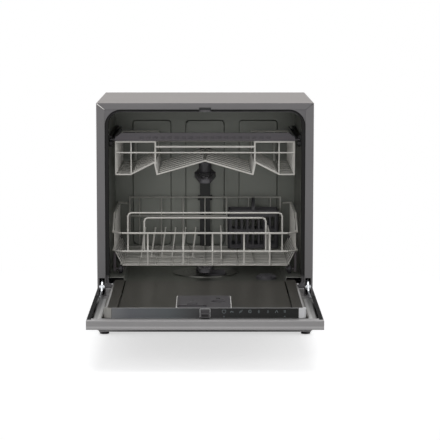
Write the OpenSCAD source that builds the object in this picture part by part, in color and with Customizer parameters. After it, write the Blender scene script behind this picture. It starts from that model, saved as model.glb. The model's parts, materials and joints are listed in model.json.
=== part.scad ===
/* [Cabinet] */
// Width over the side panels
cab_w = 550; // [500:1:620]
// Height from the floor to the top face
cab_h = 595; // [560:1:660]
// Depth from the front plane to the rear lips of the panels
cab_d = 470; // [460:1:520]
// Thickness of the painted panels
sheet_t = 1.2; // [0.8:0.1:1.6]
// Height of the folded flange along the top of the front
top_flange = 16.4; // [12:0.2:24]
// Width of the folded flange up each side of the front
side_flange = 21; // [18:0.5:26]
// Clear height under the cabinet
foot_h = 12; // [10:1:24]
// Radius of a foot pad
foot_r = 12.5; // [10:0.5:15]
// Distance of a foot from the cabinet's side face
foot_inset = 16; // [16:1:40]
// Distance of the rear panel in from the rear lips
rear_inset = 17; // [16:1:24]

/* [Tub] */
// Space between the tub's rear wall and the rear lips
rear_space = 40; // [36:1:50]
// Level of the tub floor
tub_floor_z = 130; // [130:1:136]
// Height of the wheel tracks above the tub floor
track_rise = 18; // [16:1:22]
// Thickness of the stainless sheet
tub_t = 1.5; // [1:0.1:2]
// Step from the front opening in to the tub wall
seal_w = 7; // [6:0.5:9]
// Depth of the channel that holds the door seal
seal_d = 12.5; // [10:0.5:16]
// Corner radius of the front opening
opening_r = 42; // [30:1:55]
// Height of the pressed panels in the rear wall
emboss_h = 4; // [2:0.5:6]
// Radius of the sump bowl
sump_r = 78; // [72:1:84]
// Depth of the sump bowl below the tub floor
sump_depth = 68; // [60:1:80]

/* [Door] */
// Drop from the tub floor to the door's hinge axis
hinge_drop = 6; // [5:0.5:8]
// Thickness of the folded steel door panel
door_t = 22; // [20:0.5:24]
// Gap between the closed door and the cabinet front
door_gap = 1; // [0.6:0.1:2]
// Gap above the closed door, below the cabinet's top face
door_top_gap = 1; // [1:0.5:4]
// Gap from the hinge axis to the door's lower edge
door_foot_gap = 3; // [2.8:0.2:4]
// Length of the ledge behind the door's top edge
ledge_len = 31; // [28:1:36]
// Radius of the hinge pins
hinge_pin_r = 4; // [3.5:0.1:4.5]
// Thickness of the hinge arms
hinge_arm_t = 4; // [3:0.5:5]
// Running clearance round every pin
pin_gap = 0.05; // [0.03:0.01:0.08]
// Width of the detergent dispenser
dispenser_w = 126; // [120:1:140]
// Length of the detergent dispenser
dispenser_l = 172; // [165:1:180]
// Radius of the rinse aid cap
rinse_cap_r = 17; // [14:0.5:19]
// Radius of the inner door's upper corners
liner_tip_r = 26; // [22:1:30]

/* [Lower basket] */
// Height of the lower basket's front rim above the tracks
rim_rise = 111; // [104:1:118]
// Height of its front hoop above the tracks
hoop_rise = 163; // [152:1:174]
// Height of its lower band above the tracks
band_rise = 64; // [60:1:70]
// Height of its floor wires above the tracks
floor_rise = 30; // [28:1:36]
// Gap between the lower basket and the tub walls
basket_gap = 10; // [8:0.5:16]
// Distance of both baskets' fronts behind the front plane
basket_front_y = 37; // [36:1:44]
// Gap between the lower basket and the tub's rear wall
lower_back_gap = 34; // [31:1:60]
// Diameter of the frame wires
wire_d = 5; // [4:0.2:5.6]
// Diameter of the thinner grid wires
grid_d = 3.6; // [3:0.1:4.2]
// Height of the plate tines
tine_h = 62; // [40:1:80]
// Spacing of the plate tines
tine_pitch = 27; // [22:1:34]
// Radius of the basket wheels
wheel_r = 11; // [9:0.5:12]
// Width of a basket wheel
wheel_w = 11; // [8:0.5:12]
// Radius of the wheel axles
axle_r = 3; // [2.5:0.1:3.5]
// Width of the cutlery basket
cutlery_w = 138; // [120:1:150]
// Depth of the cutlery basket
cutlery_l = 74.5; // [60:0.5:80]
// Height of the cutlery basket's walls
cutlery_h = 105; // [90:1:115]

/* [Upper basket] */
// Distance of the upper basket's rim below the cabinet's top face
upper_rim_drop = 101; // [96:1:106]
// Depth of the upper basket below its rim
upper_depth = 84; // [78:1:86]
// Height of the ridge in the middle of its floor
ridge_h = 35; // [30:1:40]
// Gap between the upper basket and the tub's rear wall
upper_back_gap = 41; // [39:1:60]
// Height of the plastic trim on its front rim
trim_h = 20; // [16:1:24]
// Radius of the guide rollers
roller_r = 8; // [7:0.5:9]

/* [Spray arms] */
// Distance from the arms' axis to the tub's rear wall
arm_back = 202; // [198:1:206]
// Gap between an arm's tip and the feed pipe
arm_gap = 7.7; // [6:0.1:12]
// Width of a spray arm at its hub
arm_w = 56; // [48:1:64]
// Thickness of a spray arm
arm_t = 13; // [11:0.5:14]
// Height of the lower spray arm above the tub floor
lower_arm_rise = 22; // [21:0.5:24]
// Drop from the upper basket's lowest wires to the upper arm's underside
upper_arm_drop = 25; // [22:1:30]

/* [Works] */
// Radius of the wash pump's volute
pump_r = 31; // [28:0.5:32]
// Length of the wash pump's motor
motor_l = 70; // [60:1:80]
// Radius of the drain pump
drain_pump_r = 27; // [24:0.5:28]
// Width of the softener tank
softener_w = 120; // [110:1:126]
// Depth of the softener tank
softener_l = 110; // [100:1:116]
// Width of the control board
board_w = 120; // [110:1:130]
// Depth of the control board
board_l = 80; // [70:1:90]
// Depth of the flat water chamber beside the tub
chamber_l = 180; // [160:1:200]
// Height of the flat water chamber
chamber_h = 296; // [260:1:320]
// Diameter of the door spring's coil
spring_d = 9; // [8:0.2:9.6]

/* [Hidden] */
$fn = 40;
seat = 0.3;
eps = 0.01;
cut = 1;
half_w = cab_w / 2;
open_hw = half_w - side_flange;
open_top = cab_h - top_flange;
frame_t = 1.5;
frame_y = sheet_t;
channel_y = frame_y + seal_d;
tub_hw = open_hw - seal_w;
tub_top = open_top - seal_w;
tub_r = opening_r - seal_w;
tub_y = channel_y + frame_t;
rear_y = cab_d - rear_inset;
base_top_z = 60;
base_t = 3;
slot_in = side_flange - 2;
slot_out = 5;
track_w = 39;
tub_back = cab_d - rear_space;
track_z = tub_floor_z + track_rise;
hinge_z = tub_floor_z - hinge_drop;
slot_low = hinge_z - 19;
slot_high = hinge_z + 24;
arm_y = tub_back - arm_back;
sump_y = arm_y - 20;
cup_x = 28;
cup_y = sump_y - 37;
cup_r = 26;

door_out_z = hinge_z - door_gap - door_t;
door_rim_z = hinge_z - door_gap;
door_tip = cab_h - door_top_gap - hinge_z;
liner_top_z = track_z;
liner_tip = door_tip - ledge_len;
liner_foot = 26;
liner_hw = open_hw - 11;
liner_in = 14;
strip_hw = liner_hw - liner_tip_r;
strip_t = 3;
liner_flange_z = door_rim_z - 10;
rail_w = 24;
liner_drop = 4;
arm_x = half_w - 12;
arm_root = 112;
tail_y = 20;
tail_z = 25;
tail_r = 5;

rim_z = track_z + rim_rise;
hoop_z = track_z + hoop_rise;
band_z = track_z + band_rise;
basket_floor_z = track_z + floor_rise;
basket_hw = tub_hw - basket_gap;
floor_hw = basket_hw - 25;
corner = 22;
back_y = tub_back - lower_back_gap;
lower_len = back_y - basket_front_y;
mat_y0 = basket_front_y + 4.5;
mat_y1 = back_y - 4.5;
weld = 0.5;
floor_wires = 10;
side_rise = 40;
side_rise_len = 70;
axle_z = track_z + seat + wheel_r;
wheel_x = basket_hw - 18;
wheel_ys = [basket_front_y + 50, back_y - 50];
bracket_t = 5;
bracket_w = 32;

upper_hw = basket_hw - 6;
upper_back_y = tub_back - upper_back_gap;
upper_rim_z = cab_h - upper_rim_drop;
upper_floor_z = upper_rim_z - upper_depth;
bay_x = 127;
bin_x = 193;
rim_drop = 13;
mid_z = upper_rim_z - 28;
runner_z = upper_rim_z + 3;
runner_t = 3.5;
roller_y = 50;
roller_z = runner_z - seat - roller_r;
manifold_z = upper_floor_z + 14;
manifold_r = 11;
shaft_r = 8;
pipe_w = 28;
pipe_d = 22;
pipe_back = tub_back - emboss_h - seat;
pipe_top = manifold_z + 22;
arm_len = pipe_back - pipe_d - arm_gap - arm_y;
lower_arm_z = tub_floor_z + lower_arm_rise;
upper_arm_z = upper_floor_z - upper_arm_drop;

module along_y(y0, y1) {
    translate([0, y1, 0]) rotate([90, 0, 0]) linear_extrude(y1 - y0) children();
}

module along_x(x0, x1) {
    translate([x0, 0, 0]) rotate([90, 0, 90]) linear_extrude(x1 - x0) children();
}

module both_sides() {
    children();
    mirror([1, 0, 0]) children();
}

module block(low, high) {
    translate(low) cube(high - low);
}

// Upright outline with one radius for the upper corners and another for the lower ones
module arch(hw, z0, z1, r_top, r_low) {
    translate([-hw, z0 + r_low]) square([2 * hw, z1 - z0 - r_top - r_low]);
    translate([-hw + r_top, z1 - r_top - cut]) square([2 * (hw - r_top), r_top + cut]);
    translate([-hw + r_low, z0]) square([2 * (hw - r_low), r_low + cut]);
    for (s = [-1, 1]) {
        translate([s * (hw - r_top), z1 - r_top]) circle(r_top);
        translate([s * (hw - r_low), z0 + r_low]) circle(r_low);
    }
}

module round_rect(w, l, r) {
    translate([-w / 2 + r, -l / 2]) square([w - 2 * r, l]);
    translate([-w / 2, -l / 2 + r]) square([w, l - 2 * r]);
    for (x = [-w / 2 + r, w / 2 - r], y = [-l / 2 + r, l / 2 - r]) translate([x, y]) circle(r);
}

module rod(a, b, d) {
    v = b - a;
    l = norm(v);
    translate(a) rotate([0, acos(v[2] / l), atan2(v[1], v[0])]) cylinder(d = d, h = l);
}

// Wire through a list of points, with a slightly fuller bend at each one
module wire(points, d) {
    for (i = [0 : len(points) - 2]) rod(points[i], points[i + 1], d);
    if (len(points) > 2)
        for (i = [1 : len(points) - 2]) translate(points[i]) sphere(d = d + weld);
}

// Wire with sharp bends: each straight runs a little past the corner into the next one
module zigzag(points, d) {
    for (i = [0 : len(points) - 2]) {
        a = points[i];
        b = points[i + 1];
        run = (b - a) / norm(b - a) * d * 0.3;
        rod(a - run, b + run, d - (i % 2) * 0.4);
    }
}

module x_pin(x0, x1, y, z, r) {
    translate([x0, y, z]) rotate([0, 90, 0]) cylinder(r = r, h = x1 - x0);
}

module y_pin(x, z, y0, y1, r) {
    translate([x, y1, z]) rotate([90, 0, 0]) cylinder(r = r, h = y1 - y0);
}

// Notch in the folded front that the latch keeper reaches through
module keeper_notch(y0, y1) {
    block([-keeper_hw - seat, y0, open_top - cut], [keeper_hw + seat, y1, open_top + keeper_h + seat]);
}

module hinge_slots(y0, y1) {
    both_sides() block([half_w - slot_in, y0, slot_low], [half_w - slot_out, y1, slot_high]);
}

module top_panel() {
    lip = 12;
    rear_hw = half_w - sheet_t - eps;
    color([0.62, 0.6, 0.58]) difference() {
        union() {
            block([-half_w, 0, cab_h - sheet_t], [half_w, cab_d, cab_h]);
            along_y(0, sheet_t) polygon([
                [-half_w, cab_h], [half_w, cab_h], [open_hw, open_top], [-open_hw, open_top]
            ]);
            block([-rear_hw, cab_d - sheet_t, cab_h - lip], [rear_hw, cab_d, cab_h]);
        }
        keeper_notch(-cut, sheet_t + cut);
    }
}

module side_panel() {
    lip = 12;
    top = cab_h - sheet_t;
    mitre = top_flange / side_flange;
    difference() {
        union() {
            block([half_w - sheet_t, 0, foot_h], [half_w, cab_d, top]);
            along_y(0, sheet_t) polygon([
                [half_w, foot_h], [half_w, top - eps],
                [half_w - sheet_t, top - sheet_t * mitre],
                [open_hw, open_top - sheet_t], [open_hw, foot_h]
            ]);
            block([half_w - lip, cab_d - sheet_t, foot_h], [half_w, cab_d, top - lip]);
        }
        hinge_slots(-cut, sheet_t + cut);
    }
}

module left_side_panel() {
    color([0.45, 0.44, 0.44]) mirror([1, 0, 0]) side_panel();
}

module right_side_panel() {
    color([0.45, 0.44, 0.44]) side_panel();
}

// Steel frame round the mouth of the tub, with the channel for the seal
module front_frame() {
    edge = 2.5;
    low_r = 10;
    color([0.44, 0.43, 0.43]) difference() {
        union() {
            along_y(frame_y, frame_y + frame_t) difference() {
                translate([-half_w + edge, tub_floor_z - 6])
                    square([cab_w - 2 * edge, cab_h - 2 * edge - tub_floor_z + 6]);
                arch(open_hw, tub_floor_z, open_top, opening_r, low_r);
            }
            along_y(frame_y, tub_y) difference() {
                arch(open_hw + frame_t, tub_floor_z - frame_t, open_top + frame_t,
                    opening_r + frame_t, low_r + frame_t);
                arch(open_hw, tub_floor_z, open_top, opening_r, low_r);
            }
            along_y(channel_y, tub_y) difference() {
                arch(open_hw + frame_t / 2, tub_floor_z - frame_t / 2, open_top + frame_t / 2,
                    opening_r + frame_t / 2, low_r);
                arch(tub_hw, tub_floor_z, tub_top, tub_r, low_r);
            }
        }
        hinge_slots(0, frame_y + frame_t + cut);
        keeper_notch(0, tub_y + cut);
    }
}

module back_panel() {
    edge = 2;
    color([0.5, 0.5, 0.51]) difference() {
        block([-half_w + edge, rear_y - sheet_t, base_top_z + 1],
            [half_w - edge, rear_y, cab_h - sheet_t - 1]);
        for (z = [280, 330, 380], x = [-120, 0, 120])
            translate([x, rear_y - 5, z]) rotate([-90, 0, 0]) linear_extrude(10)
                round_rect(80, 8, 3.9);
    }
}

module base_tray() {
    wall = 2.5;
    hw = half_w - sheet_t - seat;
    y0 = frame_y + frame_t + seat;
    y1 = rear_y - sheet_t - seat;
    color([0.2, 0.2, 0.21]) difference() {
        union() {
            difference() {
                block([-hw, y0, foot_h], [hw, y1, base_top_z]);
                block([-hw + wall, y0 + wall, foot_h + base_t], [hw - wall, y1 - wall, base_top_z + cut]);
            }
            for (s = [-1, 1], y = foot_ys)
                translate([s * foot_x, y, foot_h]) cylinder(r = foot_boss_r, h = base_t + 14);
        }
        for (s = [-1, 1], y = foot_ys)
            translate([s * foot_x, y, foot_h - cut]) cylinder(r = stem_r + 0.2, h = base_t + 20);
    }
}

foot_x = half_w - foot_inset;
foot_ys = [26, rear_y - 24];
stem_r = 4;
foot_boss_r = 8;
inlet_x = 190;
drain_x = 120;
gland_x = -190;
port_z = 80;
keeper_hw = 15;
keeper_h = 4.6;
striker_hw = 11;
striker_reach = 10;

module plinth() {
    color([0.43, 0.42, 0.42]) {
        block([-open_hw + seat, 0, foot_h], [open_hw - seat, frame_t, slot_low + 15]);
        block([-open_hw + seat, 0, foot_h], [open_hw - seat, frame_y + frame_t, foot_h + frame_t]);
        for (s = [-1, 1])
            block([s * 120 - 8, frame_t - eps, 40], [s * 120 + 8, frame_y + frame_t + seat, 56]);
    }
}

module levelling_feet() {
    color([0.12, 0.12, 0.12])
        for (s = [-1, 1], y = foot_ys) translate([s * foot_x, y, 0]) {
            rotate_extrude() polygon([
                [0, 0], [foot_r - 1, 0], [foot_r, 1], [foot_r - 1.5, 6], [stem_r + 2, foot_h - seat],
                [stem_r, foot_h - seat], [stem_r, foot_h + base_t + 10], [0, foot_h + base_t + 10]
            ]);
        }
}

// Sides and roof of the tub, bent from one stainless sheet
module tub_wrap() {
    low = tub_floor_z - tub_t;
    color([0.55, 0.55, 0.53]) {
        along_y(tub_y, tub_back) difference() {
            arch(tub_hw + tub_t, low, tub_top + tub_t, tub_r + tub_t, tub_t);
            translate([0, -cut]) arch(tub_hw, low - cut, tub_top + cut, tub_r, tub_t / 2);
        }
    }
}

module tub_back_wall() {
    low = tub_floor_z - tub_t;
    panel_low = 175;
    panel_high = tub_top - 50;
    color([0.5, 0.5, 0.48]) difference() {
        union() {
            along_y(tub_back, tub_back + tub_t)
                arch(tub_hw + tub_t, low, tub_top + tub_t, tub_r + tub_t, tub_t);
            for (p = rear_panels) pressed(p[0], p[1], panel_low, panel_high, 0, 10);
        }
        for (p = rear_panels) pressed(p[0], p[1], panel_low, panel_high, tub_t, 10);
    }
}

rear_panels = [[-200, -93], [-54, 54], [93, 200]];

module pressed(x0, x1, z0, z1, inset, r) {
    rise = inset > 0 ? cut : 0;
    translate([(x0 + x1) / 2, 0, (z0 + z1) / 2])
        along_y(tub_back - emboss_h + inset, tub_back + tub_t / 2 + rise)
            round_rect(x1 - x0 - 2 * inset, z1 - z0 - 2 * inset, r - inset);
}

// Floor pan with a wheel track along each side
module tub_floor() {
    in = tub_hw - track_w;
    low = tub_floor_z - tub_t;
    gap = eps;
    color([0.42, 0.42, 0.41]) difference() {
        union() {
            along_y(tub_y + gap, tub_back - gap) polygon([
                [-tub_hw + gap, track_z], [-in, track_z], [-in + 6, tub_floor_z],
                [in - 6, tub_floor_z], [in, track_z], [tub_hw - gap, track_z],
                [tub_hw - gap, track_z - tub_t], [in + 1.2, track_z - tub_t], [in - 4.6, low],
                [-in + 4.6, low], [-in - 1.2, track_z - tub_t], [-tub_hw + gap, track_z - tub_t]
            ]);
            translate([0, sump_y, low - 2]) cylinder(r = sump_r + 4, h = 2 + tub_t);
        }
        translate([0, sump_y, low - 3]) cylinder(r = sump_r - 4, h = 10);
        translate([softener_x, softener_y, low - 1]) cylinder(r = cap_r - 5, h = 5);
        translate([0, pipe_back - pipe_d / 2, low - 1]) cylinder(r = 8.2, h = 5);
    }
}

module tub_seal() {
    inner = 10;
    low = track_z + 6;
    gap = 0.2;
    color([0.05, 0.05, 0.05]) along_y(frame_y - 0.8, channel_y - gap) difference() {
        intersection() {
            arch(open_hw - gap, tub_floor_z + gap, open_top - gap, opening_r - gap, 5);
            translate([-half_w, low]) square([cab_w, cab_h]);
        }
        arch(open_hw - inner, tub_floor_z - inner, open_top - 5, opening_r - inner, 4);
        translate([-keeper_hw - seat, open_top - 2 * inner]) square([2 * (keeper_hw + seat), 2 * inner]);
    }
}

// Latch housing above the tub, with two cheeks that the striker closes between
module latch_keeper() {
    rear = 50;
    nose_y = frame_y - 0.6;
    cheek_low = open_top - 4.6;
    color([0.06, 0.06, 0.06]) difference() {
        union() {
            block([-keeper_hw, nose_y, open_top], [keeper_hw, rear, open_top + keeper_h]);
            block([-keeper_hw, nose_y, cheek_low], [keeper_hw, channel_y - seat, open_top + eps]);
            block([-keeper_hw - 8, tub_y + seat, tub_top + tub_t + seat], [keeper_hw + 8, rear, cab_h - 4]);
        }
        block([-striker_hw - 1.5, nose_y - cut, cheek_low - cut],
            [striker_hw + 1.5, channel_y, open_top + 1.5]);
    }
}

module sump() {
    top = tub_floor_z - tub_t - 2 - 0.01;
    wall = 3;
    low = tub_floor_z - sump_depth;
    color([0.85, 0.85, 0.83]) difference() {
        union() {
            translate([0, sump_y, 0]) rotate_extrude() polygon([
                [0, low], [sump_r - 14, low], [sump_r - wall, low + 12], [sump_r, top - 8],
                [sump_r + 10, top - 8], [sump_r + 10, top], [0, top]
            ]);
            x_pin(-sump_r - 16, -sump_r + 10, sump_y, pump_z, 17);
            x_pin(sump_r - 10, sump_r + 12, sump_y, drain_z, 11);
        }
        translate([0, sump_y, 0]) rotate_extrude() polygon([
            [0, low + wall], [sump_r - 16, low + wall], [sump_r - 2 * wall, low + 14],
            [sump_r - wall - 1, top - 8], [sump_r - wall - 1, top + cut], [0, top + cut]
        ]);
        x_pin(-sump_r - 20, -sump_r + 20, sump_y, pump_z, 14);
        x_pin(sump_r - 20, sump_r + 20, sump_y, drain_z, 8);
    }
}

pump_z = tub_floor_z - sump_depth + 32;
drain_z = tub_floor_z - sump_depth + 14;
pump_reach = pump_r + 31;
drain_reach = drain_pump_r + 19;
outlet_z = pump_z - pump_r + 9;

module filter_plate() {
    rings = [30, 44, 58];
    top = tub_floor_z + 2.5;
    color([0.6, 0.6, 0.58]) difference() {
        translate([0, sump_y, tub_floor_z + 0.02]) cylinder(r = sump_r + 8, h = top - tub_floor_z);
        translate([cup_x, cup_y, tub_floor_z - cut]) cylinder(r = cup_r + 0.3, h = 5);
        translate([0, arm_y, tub_floor_z - cut]) cylinder(r = 17.3, h = 5);
        for (r = rings, a = [0 : 18 : 359])
            translate([r * cos(a), sump_y + r * sin(a), tub_floor_z - cut])
                if (norm([r * cos(a) - cup_x, sump_y + r * sin(a) - cup_y]) > cup_r + 8
                    && norm([r * cos(a), sump_y + r * sin(a) - arm_y]) > 24)
                    cylinder(r = 2.4, h = 5);
    }
}

module filter_cup() {
    depth = 50;
    wall = 2;
    top = tub_floor_z + 2.5;
    color([0.3, 0.3, 0.31]) translate([cup_x, cup_y, 0]) {
        difference() {
            rotate_extrude() polygon([
                [0, top - depth], [cup_r - 4, top - depth], [cup_r - 0.2, top],
                [cup_r + 4, top + 0.3], [cup_r + 4, top + 3], [0, top + 3]
            ]);
            translate([0, 0, top - depth + wall]) cylinder(r1 = cup_r - 7, r2 = cup_r - 3, h = depth + 5);
        }
        block([-cup_r + 1, -2, top - 6], [cup_r - 1, 2, top + 11]);
    }
}

module lower_arm_hub() {
    post = 17;
    color([0.3, 0.3, 0.31]) translate([0, arm_y, 0]) {
        translate([0, 0, tub_floor_z - 30]) cylinder(r = post, h = lower_arm_z - tub_floor_z + 30 - 1);
        translate([0, 0, tub_floor_z + 2.6]) cylinder(r = post + 8, h = 5);
        cylinder_at(lower_arm_z - 2, shaft_r, arm_t + 2.6);
        cylinder_at(lower_arm_z + arm_t + 0.6, 14, 4);
    }
    color([0.3, 0.3, 0.31]) difference() {
        block([-12, arm_y, tub_floor_z + 2.6], [12, pipe_back - pipe_d - seat, tub_floor_z + 13]);
        translate([0, arm_y, tub_floor_z - cut]) cylinder(r = post - 2, h = 20);
    }
}

module cylinder_at(z, r, h) {
    translate([0, 0, z]) cylinder(r = r, h = h);
}

// Hollow-looking arm: a tapered blade with round tips, a hub and nozzles
module spray_arm(z) {
    tip_w = 30;
    ridge = 3;
    color([0.33, 0.33, 0.34]) difference() {
        union() {
            translate([0, 0, z]) linear_extrude(arm_t - ridge) arm_outline(arm_w, tip_w, arm_len);
            translate([0, 0, z]) linear_extrude(arm_t) arm_outline(arm_w - 22, 8, arm_len - 14);
            cylinder_at(z, arm_w / 2, arm_t);
            for (i = nozzle_steps, s = [-1, 1])
                translate([s * ((i % 2) * 8 - 4), s * (34 + i * nozzle_pitch), z]) cylinder(r = 4.5, h = arm_t + 1);
        }
        translate([0, 0, z - cut]) cylinder(r = shaft_r + pin_gap, h = arm_t + 3);
        for (i = nozzle_steps, s = [-1, 1])
            translate([s * ((i % 2) * 8 - 4), s * (34 + i * nozzle_pitch), z + arm_t - 4])
                cylinder(r = 1.6, h = 8);
    }
}

nozzle_steps = [0 : 4];
nozzle_pitch = 30;

module arm_outline(w, tip_w, l) {
    y = l - tip_w / 2;
    polygon([
        [-w / 2, 0], [-w / 2, 12], [-tip_w / 2, y], [tip_w / 2, y], [w / 2, 12],
        [w / 2, -12], [tip_w / 2, -y], [-tip_w / 2, -y], [-w / 2, -12]
    ]);
    for (s = [-1, 1]) translate([0, s * y]) circle(tip_w / 2);
}

module lower_spray_arm() {
    translate([0, arm_y, 0]) spray_arm(lower_arm_z);
}

module upper_spray_arm() {
    translate([0, arm_y, 0]) spray_arm(upper_arm_z);
}

// Duct up the rear wall, from the floor to the port that the upper manifold meets
module feed_pipe() {
    front = pipe_back - pipe_d;
    color([0.1, 0.1, 0.1]) {
        block([-pipe_w / 2, front, tub_floor_z + seat], [pipe_w / 2, pipe_back, pipe_top]);
        y_pin(0, manifold_z, front - 8, front + 1, 15);
        translate([0, pipe_back - pipe_d / 2, tub_floor_z - 24]) cylinder(r = 8, h = 26);
        for (z = [200, 300])
            block([-pipe_w / 2 - 6, pipe_back - 6, z], [pipe_w / 2 + 6, pipe_back, z + 14]);
    }
}

module upper_rails() {
    y0 = roller_y + roller_r + 6;
    color([0.1, 0.1, 0.1]) both_sides() {
        along_y(y0, tub_back - 6) polygon([
            [tub_hw, runner_z - 14], [tub_hw, runner_z + 10], [tub_hw - 9, runner_z + 10],
            [tub_hw - 9, runner_z + runner_t + 1], [tub_hw - 2.5, runner_z + runner_t + 1],
            [tub_hw - 2.5, runner_z - seat], [tub_hw - 9, runner_z - seat],
            [tub_hw - 9, runner_z - 4], [tub_hw - 3, runner_z - 14]
        ]);
        x_pin(tub_hw - 9.5, tub_hw, roller_y, roller_z, axle_r);
        x_pin(tub_hw - 11.5, tub_hw - 9.5 + eps, roller_y, roller_z, axle_r + 2);
        x_pin(tub_hw - 1.5, tub_hw, roller_y, roller_z, roller_r - 1);
    }
}

module guide_roller() {
    color([0.05, 0.05, 0.05]) difference() {
        x_pin(tub_hw - 9, tub_hw - 2, roller_y, roller_z, roller_r);
        x_pin(tub_hw - 10, tub_hw, roller_y, roller_z, axle_r + pin_gap);
    }
}

module upper_roller_left() {
    mirror([1, 0, 0]) guide_roller();
}

module upper_roller_right() {
    guide_roller();
}

// Two cheeks a side carry the hinge pin in front of the side cavity
module hinge_brackets() {
    t = 2;
    reach = 62;
    nose = 8;
    in = arm_x - hinge_arm_t / 2 - 1.5 - t;
    out = arm_x + hinge_arm_t / 2 + 1.5;
    color([0.75, 0.76, 0.78]) both_sides() {
        for (x = [in, out]) along_x(x, x + t) {
            translate([0, hinge_z]) circle(nose);
            translate([0, hinge_z - nose]) square([reach, 2 * nose]);
        }
        block([in + t - eps, reach - 8, hinge_z - nose], [out + eps, reach, hinge_z - 3]);
        block([out + t - eps, reach - 8, hinge_z - nose], [half_w - sheet_t, reach, hinge_z - 3]);
        x_pin(in - 1.2, out + t + 1.2, 0, hinge_z, hinge_pin_r);
    }
}

// Hinge arm: eye on the pin, tail for the spring, and foot on the door panel
module hinge_arms() {
    eye = 9;
    low = door_out_z + 4;
    root_h = 13;
    color([0.75, 0.76, 0.78]) both_sides() difference() {
        union() {
            along_x(arm_x - hinge_arm_t / 2, arm_x + hinge_arm_t / 2) {
                translate([0, hinge_z]) circle(eye);
                polygon([
                    [-eye * 0.6, hinge_z + eye * 0.8], [-22, low + root_h], [-arm_root, low + root_h],
                    [-arm_root, low], [-12, low], [eye * 0.6, hinge_z - eye * 0.8]
                ]);
                polygon([
                    [-eye * 0.7, hinge_z + eye * 0.7], [tail_y - 4, hinge_z + tail_z + 3],
                    [tail_y + 4, hinge_z + tail_z - 3], [eye * 0.7, hinge_z - eye * 0.7]
                ]);
                translate([tail_y, hinge_z + tail_z]) circle(tail_r);
            }
            block([arm_x - eps, -arm_root, door_out_z + sheet_t + seat / 2],
                [half_w - sheet_t - seat, -28, door_out_z + sheet_t + 3]);
            block([arm_x - hinge_arm_t / 2, -arm_root, door_out_z + sheet_t + seat / 2],
                [arm_x + hinge_arm_t / 2, -28, low + 1]);
        }
        x_pin(arm_x - 10, arm_x + 10, 0, hinge_z, hinge_pin_r + pin_gap);
        x_pin(arm_x - 10, arm_x + 10, tail_y, hinge_z + tail_z, 2);
    }
}

module door_springs() {
    anchor_y = tail_y + 185;
    start = [arm_x, tail_y + tail_r + 0.5, hinge_z + tail_z - 1];
    finish = [arm_x, anchor_y, base_top_z + 14];
    a = start + (finish - start) * 0.24;
    b = start + (finish - start) * 0.86;
    color([0.6, 0.6, 0.62]) both_sides() {
        rod(start, finish, 2.4);
        rod(a, b, spring_d);
        block([arm_x - 3, anchor_y - 2, base_top_z + seat],
            [half_w - sheet_t - seat, anchor_y + 3, base_top_z + 20]);
    }
}

module wash_pump() {
    face = -sump_r - 16 - seat;
    color([0.15, 0.15, 0.16]) {
        x_pin(face - 26, face, sump_y, pump_z, pump_r);
        x_pin(face - 26 - motor_l, face - 26 + eps, sump_y, pump_z, pump_r - 5);
        y_pin(face - 13, outlet_z, sump_y, sump_y + pump_reach, 9);
        for (x = [face - 14 - motor_l, face - 44])
            block([x, sump_y - 22, foot_h + base_t + seat], [x + 12, sump_y + 22, pump_z - 15]);
    }
}

module drain_pump() {
    face = sump_r + 12 + seat;
    z = drain_z;
    color([0.15, 0.15, 0.16]) {
        x_pin(face, face + 22, sump_y, z, drain_pump_r);
        x_pin(face + 22 - eps, face + 62, sump_y, z, drain_pump_r - 7);
        y_pin(face + 11, z, sump_y, sump_y + drain_reach, 8);
        block([face + 2, sump_y - 16, foot_h + base_t + seat], [face + 30, sump_y + 16, z - 14]);
    }
}

softener_x = half_w - 115;
softener_y = sump_y - 98;
cap_r = 27;

module softener_tank() {
    low = foot_h + base_t + seat;
    top = tub_floor_z - tub_t - 6;
    neck_r = cap_r - 6;
    color([0.85, 0.85, 0.83]) difference() {
        union() {
            translate([softener_x, softener_y, low]) linear_extrude(top - low)
                round_rect(softener_w, softener_l, 18);
            translate([softener_x, softener_y, top - eps])
                cylinder(r = neck_r, h = tub_floor_z - top);
        }
        translate([softener_x, softener_y, low + 10]) cylinder(r = neck_r - 4, h = top);
    }
}

module softener_cap() {
    neck_r = cap_r - 6;
    color([0.3, 0.3, 0.31]) translate([softener_x, softener_y, 0]) {
        cylinder_at(tub_floor_z + seat, cap_r, 6);
        cylinder_at(tub_floor_z - 12, neck_r - 4.3, 13);
        difference() {
            cylinder_at(tub_floor_z + 6, cap_r - 3, 4);
            for (s = [-1, 1]) block([-cap_r, s * 12 - 7, tub_floor_z + 6.4], [cap_r, s * 12 + 7, tub_floor_z + 12]);
        }
    }
}

module inlet_valve() {
    back = rear_y - sheet_t - seat - 2.5 - seat;
    color([0.9, 0.9, 0.88]) {
        block([inlet_x - 22, back - 52, port_z - 24], [inlet_x + 22, back, port_z + 20]);
        block([inlet_x - 14, back - 76, port_z - 12], [inlet_x + 14, back - 52 + eps, port_z + 12]);
        block([inlet_x - 18, back - 40, foot_h + base_t + seat], [inlet_x + 18, back - 12, port_z - 24 + eps]);
    }
}

module water_inlet() {
    r = 13.2;
    color([0.9, 0.9, 0.88]) {
        y_pin(inlet_x, port_z, rear_y + 2, cab_d - 1, r);
        y_pin(inlet_x, port_z, rear_y, rear_y + 2 + eps, r + 5);
    }
}

module drain_outlet() {
    color([0.12, 0.12, 0.12]) difference() {
        union() {
            y_pin(drain_x, port_z, rear_y + 2, cab_d - 1, 9.5);
            y_pin(drain_x, port_z, rear_y, rear_y + 2 + eps, 16);
        }
        y_pin(drain_x, port_z, rear_y + 4, cab_d, 7.5);
    }
}

module power_inlet() {
    color([0.1, 0.1, 0.1]) difference() {
        union() {
            y_pin(gland_x, port_z, rear_y, rear_y + 3, 14);
            y_pin(gland_x, port_z, rear_y + 3 - eps, cab_d - 2, 8);
        }
        y_pin(gland_x, port_z, rear_y + 1, cab_d, 4);
    }
}

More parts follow.
